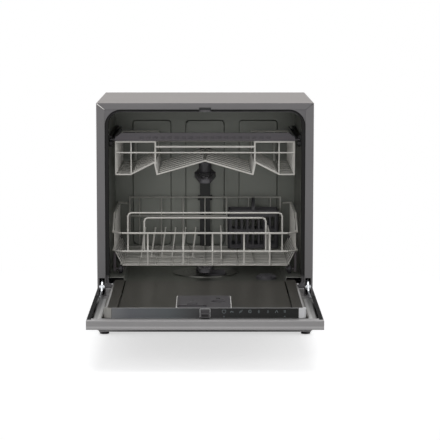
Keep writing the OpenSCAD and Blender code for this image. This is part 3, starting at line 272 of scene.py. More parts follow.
def ease_edges(piece, width, turns=2):
    """Rounds a piece's sharp edges and smooths the shading between them."""
    sharp_angle = math.radians(35)
    smooth_angle = math.radians(38)
    take(piece)
    if width:
        bevel = piece.modifiers.new("edges", "BEVEL")
        bevel.width = width
        bevel.segments = turns
        bevel.limit_method = "ANGLE"
        bevel.angle_limit = sharp_angle
        bpy.ops.object.modifier_apply(modifier=bevel.name)
    bpy.ops.object.shade_smooth_by_angle(angle=smooth_angle)
    flats = piece.modifiers.new("flats", "WEIGHTED_NORMAL")
    flats.mode = "FACE_AREA"
    flats.weight = 80
    flats.keep_sharp = True
    bpy.ops.object.modifier_apply(modifier=flats.name)


def finish_node(name, width, material, turns=2, shape=None):
    """A copy of a CAD node with its loose triangles joined, its edges rounded and its finish on."""
    source = frame["nodes"][name]
    piece = bpy.data.objects.new(name + "_finished", source.data.copy())
    scene.collection.objects.link(piece)
    open_faces(piece, lambda face: True)
    bpy.ops.mesh.remove_doubles(threshold=0.01 * mm)
    close_up()
    if shape:
        shape(piece)
    piece.data.materials.clear()
    piece.data.materials.append(material)
    ease_edges(piece, width, turns)
    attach(piece, source["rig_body"])
    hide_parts(name)
    return piece


black_plastic = moulding("black_moulding", chip(34, 34, 35), 0.42)
dress(black_plastic, "black_plastic", "base_tray")
foot_rubber = moulding("foot_rubber", chip(70, 67, 68), 0.6, 700)
finish_node("levelling_feet", 0.6 * mm, foot_rubber)

# Works on the base tray: pump motors in dipped black, hoses in ribbed rubber, the softener tank,
# valve and water chamber in natural polypropylene. They show only when the cabinet is opened up.
pale_plastic = moulding("natural_moulding", chip(210, 210, 205), 0.45)
dress(pale_plastic, "pale_plastic", "sump", "softener_tank", "inlet_valve", "air_break")
motor_dip = new_material("dipped_motor", chip(60, 60, 64), 0.5, 0.3)
mottle(motor_dip, chip(60, 60, 64), 0.2, 25)
grain(motor_dip, 500, 0.3, 0.0003, rough=(0.4, 0.6))
dress(motor_dip, "pump_black", "wash_pump", "drain_pump")
board_case = moulding("board_case", chip(48, 49, 52), 0.5, 900)
dress(board_case, "black_plastic", "control_board")
hose_rubber = new_material("hose_rubber", chip(30, 30, 30), 0.55)
mottle(hose_rubber, chip(30, 30, 30), 0.2, 30)
grain(hose_rubber, 700, 0.2, 0.0002, rough=(0.45, 0.65))
dress(hose_rubber, "black_rubber", "inner_hoses")


# Tub: bright stainless sheet, bent round the sides and roof, with a pressed rear wall welded in
# and a floor pan with a wheel track along each side. The sheet has a soft drawn sheen.
def drawn_steel(name, colour, rough, along, metal=0.92):
    """Stainless sheet with the fine lines of drawing along one direction."""
    material = new_material(name, colour, rough, metal)
    mottle(material, colour, 0.09, 4)
    grain(material, 160, 0.05, 0.0003, along, rough=(rough - 0.08, rough + 0.1))
    return material


def round_pressings(wall):
    """Draws the three pressed panels with the wide radius of a press tool."""
    pressed_face = 428 * mm
    open_faces(wall, lambda face: face.normal.y < -0.9 and face.center.y < pressed_face)
    bpy.ops.mesh.region_to_loop()
    bpy.ops.mesh.bevel(offset=3 * mm, segments=4, affect="EDGES")
    close_up()


tub_steel = drawn_steel("tub_steel", chip(132, 134, 128), 0.4, (1, 1, 12), metal=0.7)
finish_node("tub_wrap", 1.2 * mm, tub_steel, turns=3)
finish_node("tub_back_wall", 0, tub_steel, shape=round_pressings)
finish_node("tub_floor", 0.6 * mm, tub_steel, turns=3)

# Tub screws: two small bright screws a side hold the ends of the roller rails to the tub wall.
# Each is a domed head with a star recess, made once and copied.
def turned(name, profile, sides=24):
    """A round piece drawn out step by step along Z from (distance, radius) pairs."""
    bpy.ops.object.select_all(action="DESELECT")
    bpy.ops.mesh.primitive_circle_add(vertices=sides, radius=profile[0][1], fill_type="NGON",
                                      location=(0, 0, profile[0][0]))
    piece = bpy.context.object
    piece.name = name
    bpy.ops.object.transform_apply(location=True, rotation=True, scale=True)
    bpy.ops.object.mode_set(mode="EDIT")
    bpy.ops.mesh.select_all(action="SELECT")
    for (low, wide), (high, narrow) in zip(profile, profile[1:]):
        bpy.ops.mesh.extrude_region_move(TRANSFORM_OT_translate={"value": (0, 0, high - low)})
        bpy.ops.transform.resize(value=(narrow / wide, narrow / wide, 1), center_override=(0, 0, high))
    bpy.ops.mesh.select_all(action="SELECT")
    bpy.ops.mesh.normals_make_consistent(inside=False)
    close_up()
    return piece


def copy_to(master, name, place, axis, body, material, smooth=40):
    """Sets a copy of a piece made along Z at its place, facing along an axis."""
    piece = bpy.data.objects.new(name, master.data.copy())
    scene.collection.objects.link(piece)
    turn = Vector((0, 0, 1)).rotation_difference(Vector(axis)).to_matrix().to_4x4()
    piece.data.transform(Matrix.Translation(Vector(place)) @ turn)
    piece.data.materials.clear()
    piece.data.materials.append(material)
    take(piece)
    bpy.ops.object.shade_smooth_by_angle(angle=math.radians(smooth))
    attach(piece, body)
    return piece


def star_head(name, radius, height):
    """A domed screw head with a six-lobed recess, whose wall is pinched in between the lobes."""
    sides, lobes = 24, 6
    recess = radius * 0.52
    head = turned(name, [(0, radius), (height * 0.35, radius), (height * 0.7, radius * 0.88),
                         (height, radius * 0.62), (height, recess), (height * 0.35, recess * 0.9)], sides)
    take(head)
    bpy.ops.object.mode_set(mode="EDIT")
    bpy.ops.mesh.select_mode(type="VERT")
    bpy.ops.mesh.select_all(action="DESELECT")
    close_up()
    for point in head.data.vertices:
        side = round(math.degrees(math.atan2(point.co.y, point.co.x)) * sides / 360)
        in_recess = math.hypot(point.co.x, point.co.y) < recess * 1.02
        point.select = in_recess and side % (sides // lobes) == 0
    bpy.ops.object.mode_set(mode="EDIT")
    bpy.ops.transform.resize(value=(0.68, 0.68, 1), center_override=(0, 0, 0))
    close_up()
    return head


screw_steel = new_material("screw_steel", chip(205, 205, 205), 0.28, 0.95)
mottle(screw_steel, chip(205, 205, 205), 0.06, 300)
grain(screw_steel, 2500, 0.1, 0.0001, rough=(0.2, 0.36))
rail_head = star_head("rail_screw", 3.3 * mm, 2.1 * mm)
tub_side, rail_end = 246.9 * mm, 30 * mm
for side, way in (("left", 1), ("right", -1)):
    for level, height in (("upper", 525), ("lower", 512)):
        copy_to(rail_head, f"rail_screw_{side}_{level}", (-way * tub_side, rail_end, height * mm),
                (way, 0, 0), "cabinet", screw_steel)
bpy.data.objects.remove(rail_head)

# Filter: a perforated stainless disc over the sump bowl, and a moulded cup with a bar to turn it by.
# The disc lies in the floor pan's recess and the cup locks it down.
filter_steel = drawn_steel("filter_steel", chip(140, 140, 136), 0.3, (1, 1, 1))
grain(filter_steel, 900, 0.4, 0.0002)
finish_node("filter_plate", 0.4 * mm, filter_steel)
grey_plastic = moulding("grey_moulding", chip(86, 84, 88), 0.4)
finish_node("filter_cup", 0.6 * mm, grey_plastic)
finish_node("softener_cap", 0.8 * mm, grey_plastic)

# Feed pipe: a flat black moulded duct up the rear wall, held by two clips.
# The roller rails are black mouldings too, screwed to the tub walls under the upper basket.
finish_node("feed_pipe", 1.2 * mm, black_plastic)
finish_node("upper_rails", 0.6 * mm, black_plastic)
for name in ("upper_roller_left", "upper_roller_right"):
    finish_node(name, 0.7 * mm, black_plastic, turns=3)


# Front frame and plinth: zinc-coated sheet folded into the seal channel, in the cabinet's grey.
# The paint is a satin metallic powder coat with a very fine orange peel.
def satin_paint(name, colour, rough=0.42):
    """Satin metallic powder coat."""
    material = new_material(name, colour, rough, 0.25)
    mottle(material, colour, 0.03, 7)
    grain(material, 900, 0.12, 0.0002, rough=(rough - 0.05, rough + 0.06))
    return material


frame_paint = satin_paint("frame_paint", chip(108, 106, 108))
finish_node("front_frame", 0.5 * mm, frame_paint)
# The plinth and its kick edge take a lighter copy of the frame's grey: painted light, standing in for the
# floor's bounce under the open door.
lit_plinth_paint = satin_paint("lit_plinth_paint", chip(152, 150, 150))
finish_node("plinth", 0.4 * mm, lit_plinth_paint)


def block(name, low, high):
    """A plain bar between two corners, ready to be shaped."""
    low, high = Vector(low), Vector(high)
    bpy.ops.object.select_all(action="DESELECT")
    bpy.ops.mesh.primitive_cube_add(size=1, location=(low + high) / 2, scale=high - low)
    piece = bpy.context.object
    piece.name = name
    bpy.ops.object.transform_apply(location=True, rotation=True, scale=True)
    return piece


def settle(piece, body, material, width):
    """Puts the finish on a new piece, rounds it and hands it to the body that carries it."""
    piece.data.materials.clear()
    piece.data.materials.append(material)
    ease_edges(piece, width)
    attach(piece, body)


# Kick edge: a folded lip along the plinth's foot, in the same lighter paint, painted light from the floor
# below.
kick_half = 272 * mm
kick_edge = block("plinth_kick_edge", (-kick_half, 0.2 * mm, 8.8 * mm), (kick_half, 5 * mm, 12.2 * mm))
open_faces(kick_edge, lambda face: face.normal.y > 0.9)
bpy.ops.mesh.inset(thickness=0.8 * mm)
bpy.ops.transform.translate(value=(0, -3.2 * mm, 0))
close_up()
settle(kick_edge, "cabinet", lit_plinth_paint, 0.25 * mm)

# Door seal: an extruded black rubber profile pressed into the channel, with a hollow front lip.
# The lip is two thin ridges with a groove between, which the closed door flattens.
seal_rubber = new_material("seal_rubber", chip(15, 14, 14), 0.6)
seal_rubber.node_tree.nodes["Principled BSDF"].inputs["Specular IOR Level"].default_value = 0.25
mottle(seal_rubber, chip(15, 14, 14), 0.2, 30)
grain(seal_rubber, 700, 0.2, 0.0002, rough=(0.4, 0.6))


def groove_front(seal):
    """Sinks a groove in the lip's front face, which leaves a ridge each side."""
    open_faces(seal, lambda face: face.normal.y < -0.9)
    bpy.ops.mesh.inset(thickness=1.4 * mm, use_even_offset=True)
    bpy.ops.transform.translate(value=(0, 1.6 * mm, 0))
    close_up()


finish_node("tub_seal", 0.6 * mm, seal_rubber, turns=3, shape=groove_front)

# Cabinet panels: three folded sheets, mitred where their front flanges meet, screwed at the rear.
# The left mitre carries a thin near-white sliver, a painted highlight along its folded edge.
panel_paint = satin_paint("silver_grey_paint", chip(118, 116, 117))
# The roof takes a warmer copy of the paint on all but its front-facing faces: a painted tint of the warm
# overhead light.
warm_lit_roof_paint = satin_paint("warm_lit_roof_paint", chip(118, 111, 108))
roof = finish_node("top_panel", 0.6 * mm, warm_lit_roof_paint)
roof.data.materials.append(panel_paint)
for face in roof.data.polygons:
    face.material_index = 1 if face.normal.y < -0.5 else 0
for name in ("left_side_panel", "right_side_panel"):
    finish_node(name, 0.6 * mm, panel_paint)
painted_highlight_white = new_material("painted_highlight_white", chip(246, 244, 240), 0.3)
mottle(painted_highlight_white, chip(246, 244, 240), 0.04, 200)
grain(painted_highlight_white, 1500, 0.2, 0.0001, rough=(0.18, 0.34))
mitre_top = Vector((-273.2, 0, 593.2)) * mm
mitre_low = Vector((-254.6, 0, 578.7)) * mm
run = mitre_low - mitre_top
sliver = block("mitre_edge_left", (-run.length / 2, -0.9 * mm, -1.4 * mm),
               (run.length / 2, 0.5 * mm, 1.4 * mm))
open_faces(sliver, lambda face: face.normal.x > 0.9)
bpy.ops.transform.resize(value=(1, 1, 0.45), center_override=(0, 0, 0))
close_up()
lean = Vector((1, 0, 0)).rotation_difference(run.normalized()).to_matrix().to_4x4()
sliver.data.transform(Matrix.Translation((mitre_top + mitre_low) / 2) @ lean)
settle(sliver, "cabinet", painted_highlight_white, 0.12 * mm)

# Rear wall: bare zinc-plated sheet with its faint crystal pattern, held by pan-head screws.
# The eight screws share one head with a star recess, made once and copied.
zinc = new_material("zinc_sheet", chip(178, 178, 180), 0.42, 0.85)
mottle(zinc, chip(178, 178, 180), 0.12, 60)
grain(zinc, 60, 0.05, 0.0004, rough=(0.32, 0.52))
dress(zinc, "bright_steel", "back_panel")
back_head = star_head("back_screw", 4.2 * mm, 2.4 * mm)
screw_seat = 452.9 * mm
back_screws = [(-255, 90), (-255, 330), (-255, 570), (0, 582), (255, 570), (255, 330), (255, 90), (0, 70)]
for number, (x, z) in enumerate(back_screws, 1):
    copy_to(back_head, f"back_screw_{number}", (x * mm, screw_seat, z * mm), (0, 1, 0),
            "cabinet", screw_steel)
bpy.data.objects.remove(back_head)

# Rear fittings: the threaded filling spout, the barbed drain spigot and the cable gland's nut.
# Each is a moulding pushed through the rear wall from the inside.
inlet_x, drain_x, gland_x, port_z = 190, 120, -190, 80
rear_face = 453 * mm


def stepped(start, pitch, count, crest, root):
    """Evenly spaced ridges along a spout."""
    steps = []
    for turn in range(count):
        at = start + turn * pitch
        steps += [(at, root), (at + pitch * 0.35, crest), (at + pitch * 0.6, crest),
                  (at + pitch * 0.95, root)]
    return steps


def fitting(name, node, x, profile, material, sides=40):
    """A round fitting on the rear wall in the place of its plain CAD node."""
    spout = turned(name, [(d * mm, r * mm) for d, r in profile], sides)
    piece = copy_to(spout, name, (x * mm, rear_face, port_z * mm), (0, 1, 0), "cabinet", material, smooth=25)
    bpy.data.objects.remove(spout)
    piece.name = name
    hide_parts(node)
    return piece


fitting("inlet_spout", "water_inlet", inlet_x,
        [(0, 18.2), (1.6, 18.2), (2.1, 17.6), (2.1, 12.0)] + stepped(2.6, 2.3, 5, 13.2, 12.1)
        + [(14.6, 12.4), (15.9, 11.6), (15.9, 9.4), (4, 9.0)], pale_plastic)
fitting("drain_spigot", "drain_outlet", drain_x,
        [(0, 16), (1.6, 16), (2, 15.5), (2, 8.7), (3.5, 8.7), (6, 9.5), (6.1, 8.7), (9.5, 9.5), (9.6, 8.7),
         (13.5, 9.4), (15.8, 8.3), (15.8, 7.3), (4, 7.1)], black_plastic)
fitting("gland_nut", "power_inlet", gland_x,
        [(0, 14), (2.6, 14), (3, 13.6), (3, 8), (9, 8), (13, 7.4), (14.8, 6.2), (14.8, 4.2), (5, 4)],
        black_plastic, sides=18)

# Hinges: stamped zinc-plated strip on a hard pin, with the tail that the door spring pulls on.
# Brackets and arms are stamped and plated alike, and the springs are plated wire.
plated = new_material("plated_steel", chip(200, 202, 205), 0.26, 0.95)
mottle(plated, chip(200, 202, 205), 0.08, 40)
grain(plated, 300, 0.08, 0.0002, rough=(0.18, 0.36))
dress(plated, "bright_steel", "door_springs")
for name in ("hinge_brackets", "hinge_arms"):
    finish_node(name, 0.5 * mm, plated)

# Door: a folded steel tray in the cabinet's grey, with a ledge behind its upper edge, its paint set lighter
# here as painted light.
# Painted highlights lie in a band low along its front edge and in a fainter one at its top.
lit_door_paint = satin_paint("lit_door_paint", chip(152, 150, 150), 0.4)
door_nodes = lit_door_paint.node_tree.nodes
door_links = lit_door_paint.node_tree.links
door_place = door_nodes.new("ShaderNodeSeparateXYZ")
door_links.new(pattern_place(lit_door_paint), door_place.inputs[0])
painted_edge_highlight = door_nodes.new("ShaderNodeValToRGB")
for position, shade in ((0.0, 0), (0.12, 0.2), (0.22, 0.75), (0.3, 0.75), (0.42, 0), (0.86, 0), (1.0, 0.35)):
    painted_edge_highlight.color_ramp.elements.new(position).color = (shade, shade, shade, 1)
highlight_height_span = door_nodes.new("ShaderNodeMapRange")
highlight_height_span.inputs["From Min"].default_value = 101 * mm
highlight_height_span.inputs["From Max"].default_value = 123 * mm
door_links.new(door_place.outputs["Z"], highlight_height_span.inputs["Value"])
door_links.new(highlight_height_span.outputs["Result"], painted_edge_highlight.inputs["Fac"])
highlight_mix = door_nodes.new("ShaderNodeMix")
highlight_mix.data_type = "RGBA"
highlight_mix.inputs[7].default_value = (*chip(186, 184, 184), 1)
door_shader = door_nodes["Principled BSDF"]
door_links.new(painted_edge_highlight.outputs["Color"], highlight_mix.inputs[0])
door_links.new(door_shader.inputs["Base Color"].links[0].from_socket, highlight_mix.inputs[6])
door_links.new(highlight_mix.outputs[2], door_shader.inputs["Base Color"])
finish_node("door_outer_panel", 0.6 * mm, lit_door_paint)

# Inner door: deep-drawn stainless with rounded corners and a rail for the basket wheels each side.
# Its flange carries painted reflections in graded bands: a painted highlight by the raised part, shading to
# painted shade at the edge.
liner_steel = drawn_steel("liner_steel", chip(98, 95, 90), 0.3, (10, 1, 10))
liner_nodes = liner_steel.node_tree.nodes
liner_links = liner_steel.node_tree.links
flank = liner_nodes.new("ShaderNodeSeparateXYZ")
liner_links.new(pattern_place(liner_steel), flank.inputs[0])
outward = liner_nodes.new("ShaderNodeMath")
outward.operation = "ABSOLUTE"
liner_links.new(flank.outputs["X"], outward.inputs[0])
painted_band_span = liner_nodes.new("ShaderNodeMapRange")
flange_in, flange_out = 244 * mm, 274 * mm
painted_band_span.inputs["From Min"].default_value = flange_in
painted_band_span.inputs["From Max"].default_value = flange_out
liner_links.new(outward.outputs[0], painted_band_span.inputs["Value"])
# These graded tones are painted highlight and painted shade, not the steel's own colour.
painted_flange_reflections = liner_nodes.new("ShaderNodeValToRGB")
painted_flange_reflections.color_ramp.elements[0].color = (*chip(226, 225, 222), 1)
painted_flange_reflections.color_ramp.elements[1].color = (*chip(26, 26, 26), 1)
for position, shade in ((0.2, 226), (0.35, 140), (0.62, 84), (0.84, 30)):
    painted_flange_reflections.color_ramp.elements.new(position).color = (*chip(shade, shade, shade - 2), 1)
liner_links.new(painted_band_span.outputs["Result"], painted_flange_reflections.inputs["Fac"])
painted_band_mask = liner_nodes.new("ShaderNodeMath")
painted_band_mask.operation = "GREATER_THAN"
painted_band_mask.inputs[1].default_value = flange_in + 0.5 * mm
liner_links.new(outward.outputs[0], painted_band_mask.inputs[0])
bright = liner_nodes.new("ShaderNodeMix")
bright.data_type = "RGBA"
liner_shader = liner_nodes["Principled BSDF"]
liner_links.new(painted_band_mask.outputs[0], bright.inputs[0])
liner_links.new(liner_shader.inputs["Base Color"].links[0].from_socket, bright.inputs[6])
liner_links.new(painted_flange_reflections.outputs["Color"], bright.inputs[7])
liner_links.new(bright.outputs[2], liner_shader.inputs["Base Color"])
finish_node("door_liner", 2.5 * mm, liner_steel, turns=4)

# Door edge strips: thin matt black strips along the folded rim at each side of the door.
# They lie on the rim between the door's side wall and the inner door.
dark_edge_strip = new_material("dark_edge_sheet", chip(20, 20, 20), 0.85)
dark_edge_strip.node_tree.nodes["Principled BSDF"].inputs["Specular IOR Level"].default_value = 0.15
mottle(dark_edge_strip, chip(20, 20, 20), 0.25, 220)
grain(dark_edge_strip, 2200, 0.5, 0.0002, rough=(0.75, 0.95))
for side, way in (("left", -1), ("right", 1)):
    inner, outer = way * 264.2 * mm, way * 273.4 * mm
    strip = block(f"door_edge_dark_strip_{side}", (min(inner, outer), -457 * mm, 122.9 * mm),
                  (max(inner, outer), -125 * mm, 123.5 * mm))
    open_faces(strip, lambda face: face.normal.z > 0.9)
    bpy.ops.mesh.inset(thickness=1.2 * mm)
    bpy.ops.transform.translate(value=(0, 0, 0.2 * mm))
    close_up()
    settle(strip, "door", dark_edge_strip, 0.15 * mm)

# Control strip: a glossy moulded strip set in the door's upper edge, with a painted reflection that fades it
# from blue-grey to near black across its width.
# It is one injection moulding that covers the front side of the inner door.
strip_gloss = new_material("control_strip_gloss", chip(60, 60, 62), 0.25)
strip_shader = strip_gloss.node_tree.nodes["Principled BSDF"]
strip_shader.inputs["Specular IOR Level"].default_value = 0.28
strip_shader.inputs["Coat Weight"].default_value = 0.05
strip_shader.inputs["Coat Roughness"].default_value = 0.1
across = strip_gloss.node_tree.nodes.new("ShaderNodeSeparateXYZ")
strip_gloss.node_tree.links.new(pattern_place(strip_gloss), across.inputs[0])
span = strip_gloss.node_tree.nodes.new("ShaderNodeMapRange")
strip_half = 217 * mm
span.inputs["From Min"].default_value = -strip_half
span.inputs["From Max"].default_value = strip_half
strip_gloss.node_tree.links.new(across.outputs["X"], span.inputs["Value"])
# The ramp is a painted reflection across the strip, light at its left end and near black at its right.
painted_reflection_ramp = strip_gloss.node_tree.nodes.new("ShaderNodeValToRGB")
painted_reflection_ramp.color_ramp.elements[0].color = (*chip(124, 125, 127), 1)
painted_reflection_ramp.color_ramp.elements[1].position = 1.0
painted_reflection_ramp.color_ramp.elements[1].color = (*chip(20, 20, 19), 1)
for position, shade in ((0.1, (104, 106, 110)), (0.3, (94, 98, 100)), (0.42, (74, 75, 76)),
                        (0.53, (52, 50, 51)), (0.62, (34, 35, 35)), (0.8, (25, 25, 24))):
    painted_reflection_ramp.color_ramp.elements.new(position).color = (*chip(*shade), 1)
strip_gloss.node_tree.links.new(span.outputs["Result"], painted_reflection_ramp.inputs["Fac"])
strip_gloss.node_tree.links.new(painted_reflection_ramp.outputs["Color"], strip_shader.inputs["Base Color"])
grain(strip_gloss, 1200, 0.04, 0.0001)
finish_node("control_strip", 0.8 * mm, strip_gloss)

# Strip ends: two moulded caps that close the strip's ends and follow the inner door's round corners.
# They are clipped over it; their pale tones are painted highlights, the right one painted paler than the
# left.
for side, way, painted_highlight_tone in (("left", -1, (158, 156, 151)), ("right", 1, (222, 222, 223))):
    cap_plastic = moulding(f"strip_end_{side}", chip(*painted_highlight_tone), 0.3)
    near, far = way * 217.4 * mm, way * 235 * mm
    cap = block(f"strip_end_{side}", (min(near, far), -441.6 * mm, 123.6 * mm),
                (max(near, far), -426 * mm, 147.4 * mm))
    take(cap)
    bpy.ops.object.mode_set(mode="EDIT")
    bpy.ops.mesh.select_mode(type="EDGE")
    bpy.ops.mesh.select_all(action="DESELECT")
    close_up()
    for edge in cap.data.edges:
        ends = [cap.data.vertices[v].co for v in edge.vertices]
        edge.select = all(abs(e.x - far) < 0.1 * mm and e.y < -441 * mm for e in ends)
    bpy.ops.object.mode_set(mode="EDIT")
    bpy.ops.mesh.bevel(offset=12 * mm, segments=8, affect="EDGES")
    close_up()
    settle(cap, "door", cap_plastic, 0.5 * mm)

# Strip edge: a thin satin metal band along the top of the control strip, its pale tone a painted highlight
# of that edge.
# It is pressed onto the strip's upper edge, in front of the inner door.
highlight_band_metal = new_material("strip_band", chip(168, 168, 168), 0.35, 0.3)
mottle(highlight_band_metal, chip(168, 168, 168), 0.05, 60)
grain(highlight_band_metal, 600, 0.06, 0.0001, (1, 12, 12), rough=(0.3, 0.42))
band_half = 216.8 * mm
band = block("strip_top_band", (-band_half, -443.2 * mm, 147.35 * mm), (band_half, -440 * mm, 147.95 * mm))
open_faces(band, lambda face: face.normal.y < -0.9)
bpy.ops.mesh.inset(thickness=0.12 * mm)
bpy.ops.transform.translate(value=(0, -0.1 * mm, 0))
close_up()
settle(band, "door", highlight_band_metal, 0.08 * mm)

# Touch marks: eight plain signs and two small lamps printed behind the strip's gloss, lit when in use.
# They stand a tenth of a millimetre proud here and are simple shapes with no lettering.
strip_face = -442.3 * mm
mark_print = new_material("mark_print", chip(108, 116, 118), 0.4)
mottle(mark_print, chip(108, 116, 118), 0.12, 90)
marks = []


def ring_mark(x, z, radius, gap=0):
    """A thin ring, open at the top by an angle either side."""
    def in_gap(face):
        off_top = math.atan2(face.center.x - x * mm, face.center.z - z * mm)
        return gap and abs(math.degrees(off_top)) < gap

    bpy.ops.object.select_all(action="DESELECT")
    bpy.ops.mesh.primitive_torus_add(major_radius=radius * mm, minor_radius=0.5 * mm,
                                     major_segments=40, minor_segments=8,
                                     location=(x * mm, strip_face, z * mm),
                                     rotation=(math.radians(90), 0, 0))
    ring = bpy.context.object
    bpy.ops.object.transform_apply(location=True, rotation=True, scale=True)
    open_faces(ring, in_gap)
    if gap:
        bpy.ops.mesh.delete(type="FACE")
    bpy.ops.mesh.select_all(action="SELECT")
    bpy.ops.transform.resize(value=(1, 0.3, 1), center_override=(0, strip_face, 0))
    close_up()
    marks.append(ring)


def bar_mark(x, z, width, height, tilt=0):
    """A thin flat bar, tilted by an angle in the strip's face."""
    half_w, half_h, half_t = width / 2 * mm, height / 2 * mm, 0.12 * mm
    bar = block("bar_mark", (-half_w, -half_t, -half_h), (half_w, half_t, half_h))
    open_faces(bar, lambda face: face.normal.y < -0.9)
    bpy.ops.mesh.inset(thickness=0.15 * mm)
    close_up()
    turn = Matrix.Rotation(math.radians(tilt), 4, "Y")
    bar.data.transform(Matrix.Translation((x * mm, strip_face, z * mm)) @ turn)
    marks.append(bar)


mark_z, lamp_z = 139.6, 127.6
ring_mark(44, mark_z, 4.2, gap=28)
bar_mark(44, mark_z + 3.4, 1.0, 4.4)
for step in (-2.6, 0, 2.6):
    ring_mark(62 + step, mark_z - abs(step) * 0.5, 0.8)
for step in (-2.4, 0, 2.4):
    bar_mark(83 + step, mark_z + step * 0.5, 1.0, 6.2, tilt=22)
ring_mark(104, mark_z, 3.2)
bar_mark(104, mark_z, 1.0, 2.6)
for step in (-2.8, 0, 2.8):
    bar_mark(125, mark_z + step, 5.6 - abs(step) * 0.7, 1.0)
bar_mark(146, mark_z, 1.1, 7.0)
bar_mark(146, mark_z - 1.4, 4.6, 1.0)
for tilt, shift in ((28, -1.7), (-28, 1.7)):
    bar_mark(166 + shift, mark_z, 1.0, 7.0, tilt=tilt)
for step in (-1.4, 1.4):
    bar_mark(185 + step, mark_z, 1.1, 6.0)
ring_mark(44, lamp_z, 0.8)
ring_mark(185, lamp_z, 0.8)
bpy.ops.object.select_all(action="DESELECT")
for mark in marks:
    mark.select_set(True)
bpy.context.view_layer.objects.active = marks[0]
bpy.ops.object.join()
touch_marks = bpy.context.object
touch_marks.name = "touch_marks"
settle(touch_marks, "door", mark_print, 0)

# Latch: a moulded loop on the door that snaps between two cheeks at the top of the opening.
# A bright metal rim frames the loop's place in the control strip.
striker_plastic = moulding("striker_moulding", chip(66, 63, 65), 0.38)
finish_node("latch_striker", 0.5 * mm, striker_plastic)
finish_node("latch_keeper", 0.5 * mm, black_plastic)


def rim_frame(name, width, length, radius, bar, thick):
    """A thin frame with rounded corners, lying flat round the origin."""
    bpy.ops.object.select_all(action="DESELECT")
    bpy.ops.mesh.primitive_plane_add(size=1)
    rim = bpy.context.object
    rim.name = name
    rim.scale = (width, length, 1)
    bpy.ops.object.transform_apply(location=True, rotation=True, scale=True)
    bpy.ops.object.mode_set(mode="EDIT")
    bpy.ops.mesh.select_all(action="SELECT")
    bpy.ops.mesh.bevel(offset=radius, offset_type="OFFSET", segments=6, affect="VERTICES")
    bpy.ops.mesh.select_all(action="SELECT")
    bpy.ops.mesh.inset(thickness=bar)
    bpy.ops.mesh.delete(type="FACE")
    bpy.ops.mesh.select_all(action="SELECT")
    bpy.ops.mesh.extrude_region_move(TRANSFORM_OT_translate={"value": (0, 0, thick)})
    bpy.ops.mesh.select_all(action="SELECT")
    bpy.ops.mesh.normals_make_consistent(inside=False)
    close_up()
    return rim


striker_rim = rim_frame("striker_rim", 24.4 * mm, 21 * mm, 1.6 * mm, 1.0 * mm, 0.6 * mm)
upright = Matrix.Rotation(math.radians(90), 4, "X")
striker_rim.data.transform(Matrix.Translation((0, strip_face, 135.6 * mm)) @ upright)
settle(striker_rim, "door", screw_steel, 0.15 * mm)

# Dispenser: a moulded plate pressed into the inner door, with a sliding lid over the detergent cup
# and a turning cap over the rinse aid filler.
dispenser_plastic = moulding("dispenser_moulding", chip(72, 70, 73), 0.36)
for name in ("dispenser_body", "dispenser_lid", "rinse_aid_cap"):
    finish_node(name, 0.6 * mm, dispenser_plastic)
dispenser_x, dispenser_y, plate_z = -3, -343, 144
# Its rim is drawn in the same near-white as the mitre's painted highlight.
dispenser_rim = rim_frame("dispenser_rim", 130.4 * mm, 176 * mm, 12 * mm, 2.0 * mm, 1.7 * mm)
dispenser_rim.data.transform(Matrix.Translation((dispenser_x * mm, dispenser_y * mm, plate_z * mm)))
settle(dispenser_rim, "door", painted_highlight_white, 0.5 * mm)
# Lid track: a shallow recessed bar along the lid's slide, black as painted shade in the gap by the lid.
lid_shadow_gap = block("lid_shadow_gap", (-55 * mm, -309 * mm, 145.2 * mm), (12 * mm, -295 * mm, 146.04 * mm))
open_faces(lid_shadow_gap, lambda face: face.normal.z > 0.9)
bpy.ops.mesh.inset(thickness=0.9 * mm)
bpy.ops.transform.translate(value=(0, 0, -0.5 * mm))
close_up()
settle(lid_shadow_gap, "door", black_plastic, 0)
window_profile = [(0, 5.2), (0.8, 5.2), (1.1, 4.8), (1.1, 3.9), (0.6, 3.7), (0.9, 2.4), (1.1, 0.6)]
window = turned("rinse_window", [(level * mm, radius * mm) for level, radius in window_profile], 28)
lens_plastic = new_material("sight_lens", chip(24, 24, 26), 0.12)
mottle(lens_plastic, chip(24, 24, 26), 0.1, 200)
grain(lens_plastic, 300, 0.05, 0.0001)
copy_to(window, "rinse_sight_glass", (31 * mm, -300 * mm, 146 * mm), (0, 0, 1), "door", lens_plastic)
bpy.data.objects.remove(window)

# Lower basket: mild steel wire, bent and spot-welded into flat mats, then dipped in warm grey nylon.
# Each tine ends in a drop of the coating, made once and copied to all 28.
coated_wire = new_material("coated_wire", chip(226, 223, 216), 0.3)
mottle(coated_wire, chip(226, 223, 216), 0.05, 40)
grain(coated_wire, 400, 0.1, 0.0002, rough=(0.22, 0.36))
for name in ("lower_basket_ends", "lower_basket_sides", "lower_basket_floor", "plate_tines"):
    finish_node(name, 0, coated_wire)
tip_profile = [(-4.5, 1.75), (-2.5, 2.1), (-0.4, 2.2), (0.9, 1.9), (1.7, 1.2), (2.0, 0.4)]
tip_drop = turned("tine_tip", [(level * mm, radius * mm) for level, radius in tip_profile], 12)
tine_pitch, tine_lean, tine_rise, tine_top = 27, 8.06, 62, 243.8
tips = [(-168 + tine_pitch * step + tine_lean, y, (tine_lean, 0, tine_rise))
        for y in (141.1, 263.2) for step in range(6)]
tips += [(x, 105 + tine_pitch * step + tine_lean, (0, tine_lean, tine_rise))
         for x in (42.4, 169.6) for step in range(8)]
for number, (x, y, along) in enumerate(tips, 1):
    drop = copy_to(tip_drop, f"tine_tip_{number}", (x * mm, y * mm, tine_top * mm), along,
                   "lower_basket", coated_wire)
bpy.data.objects.remove(tip_drop)

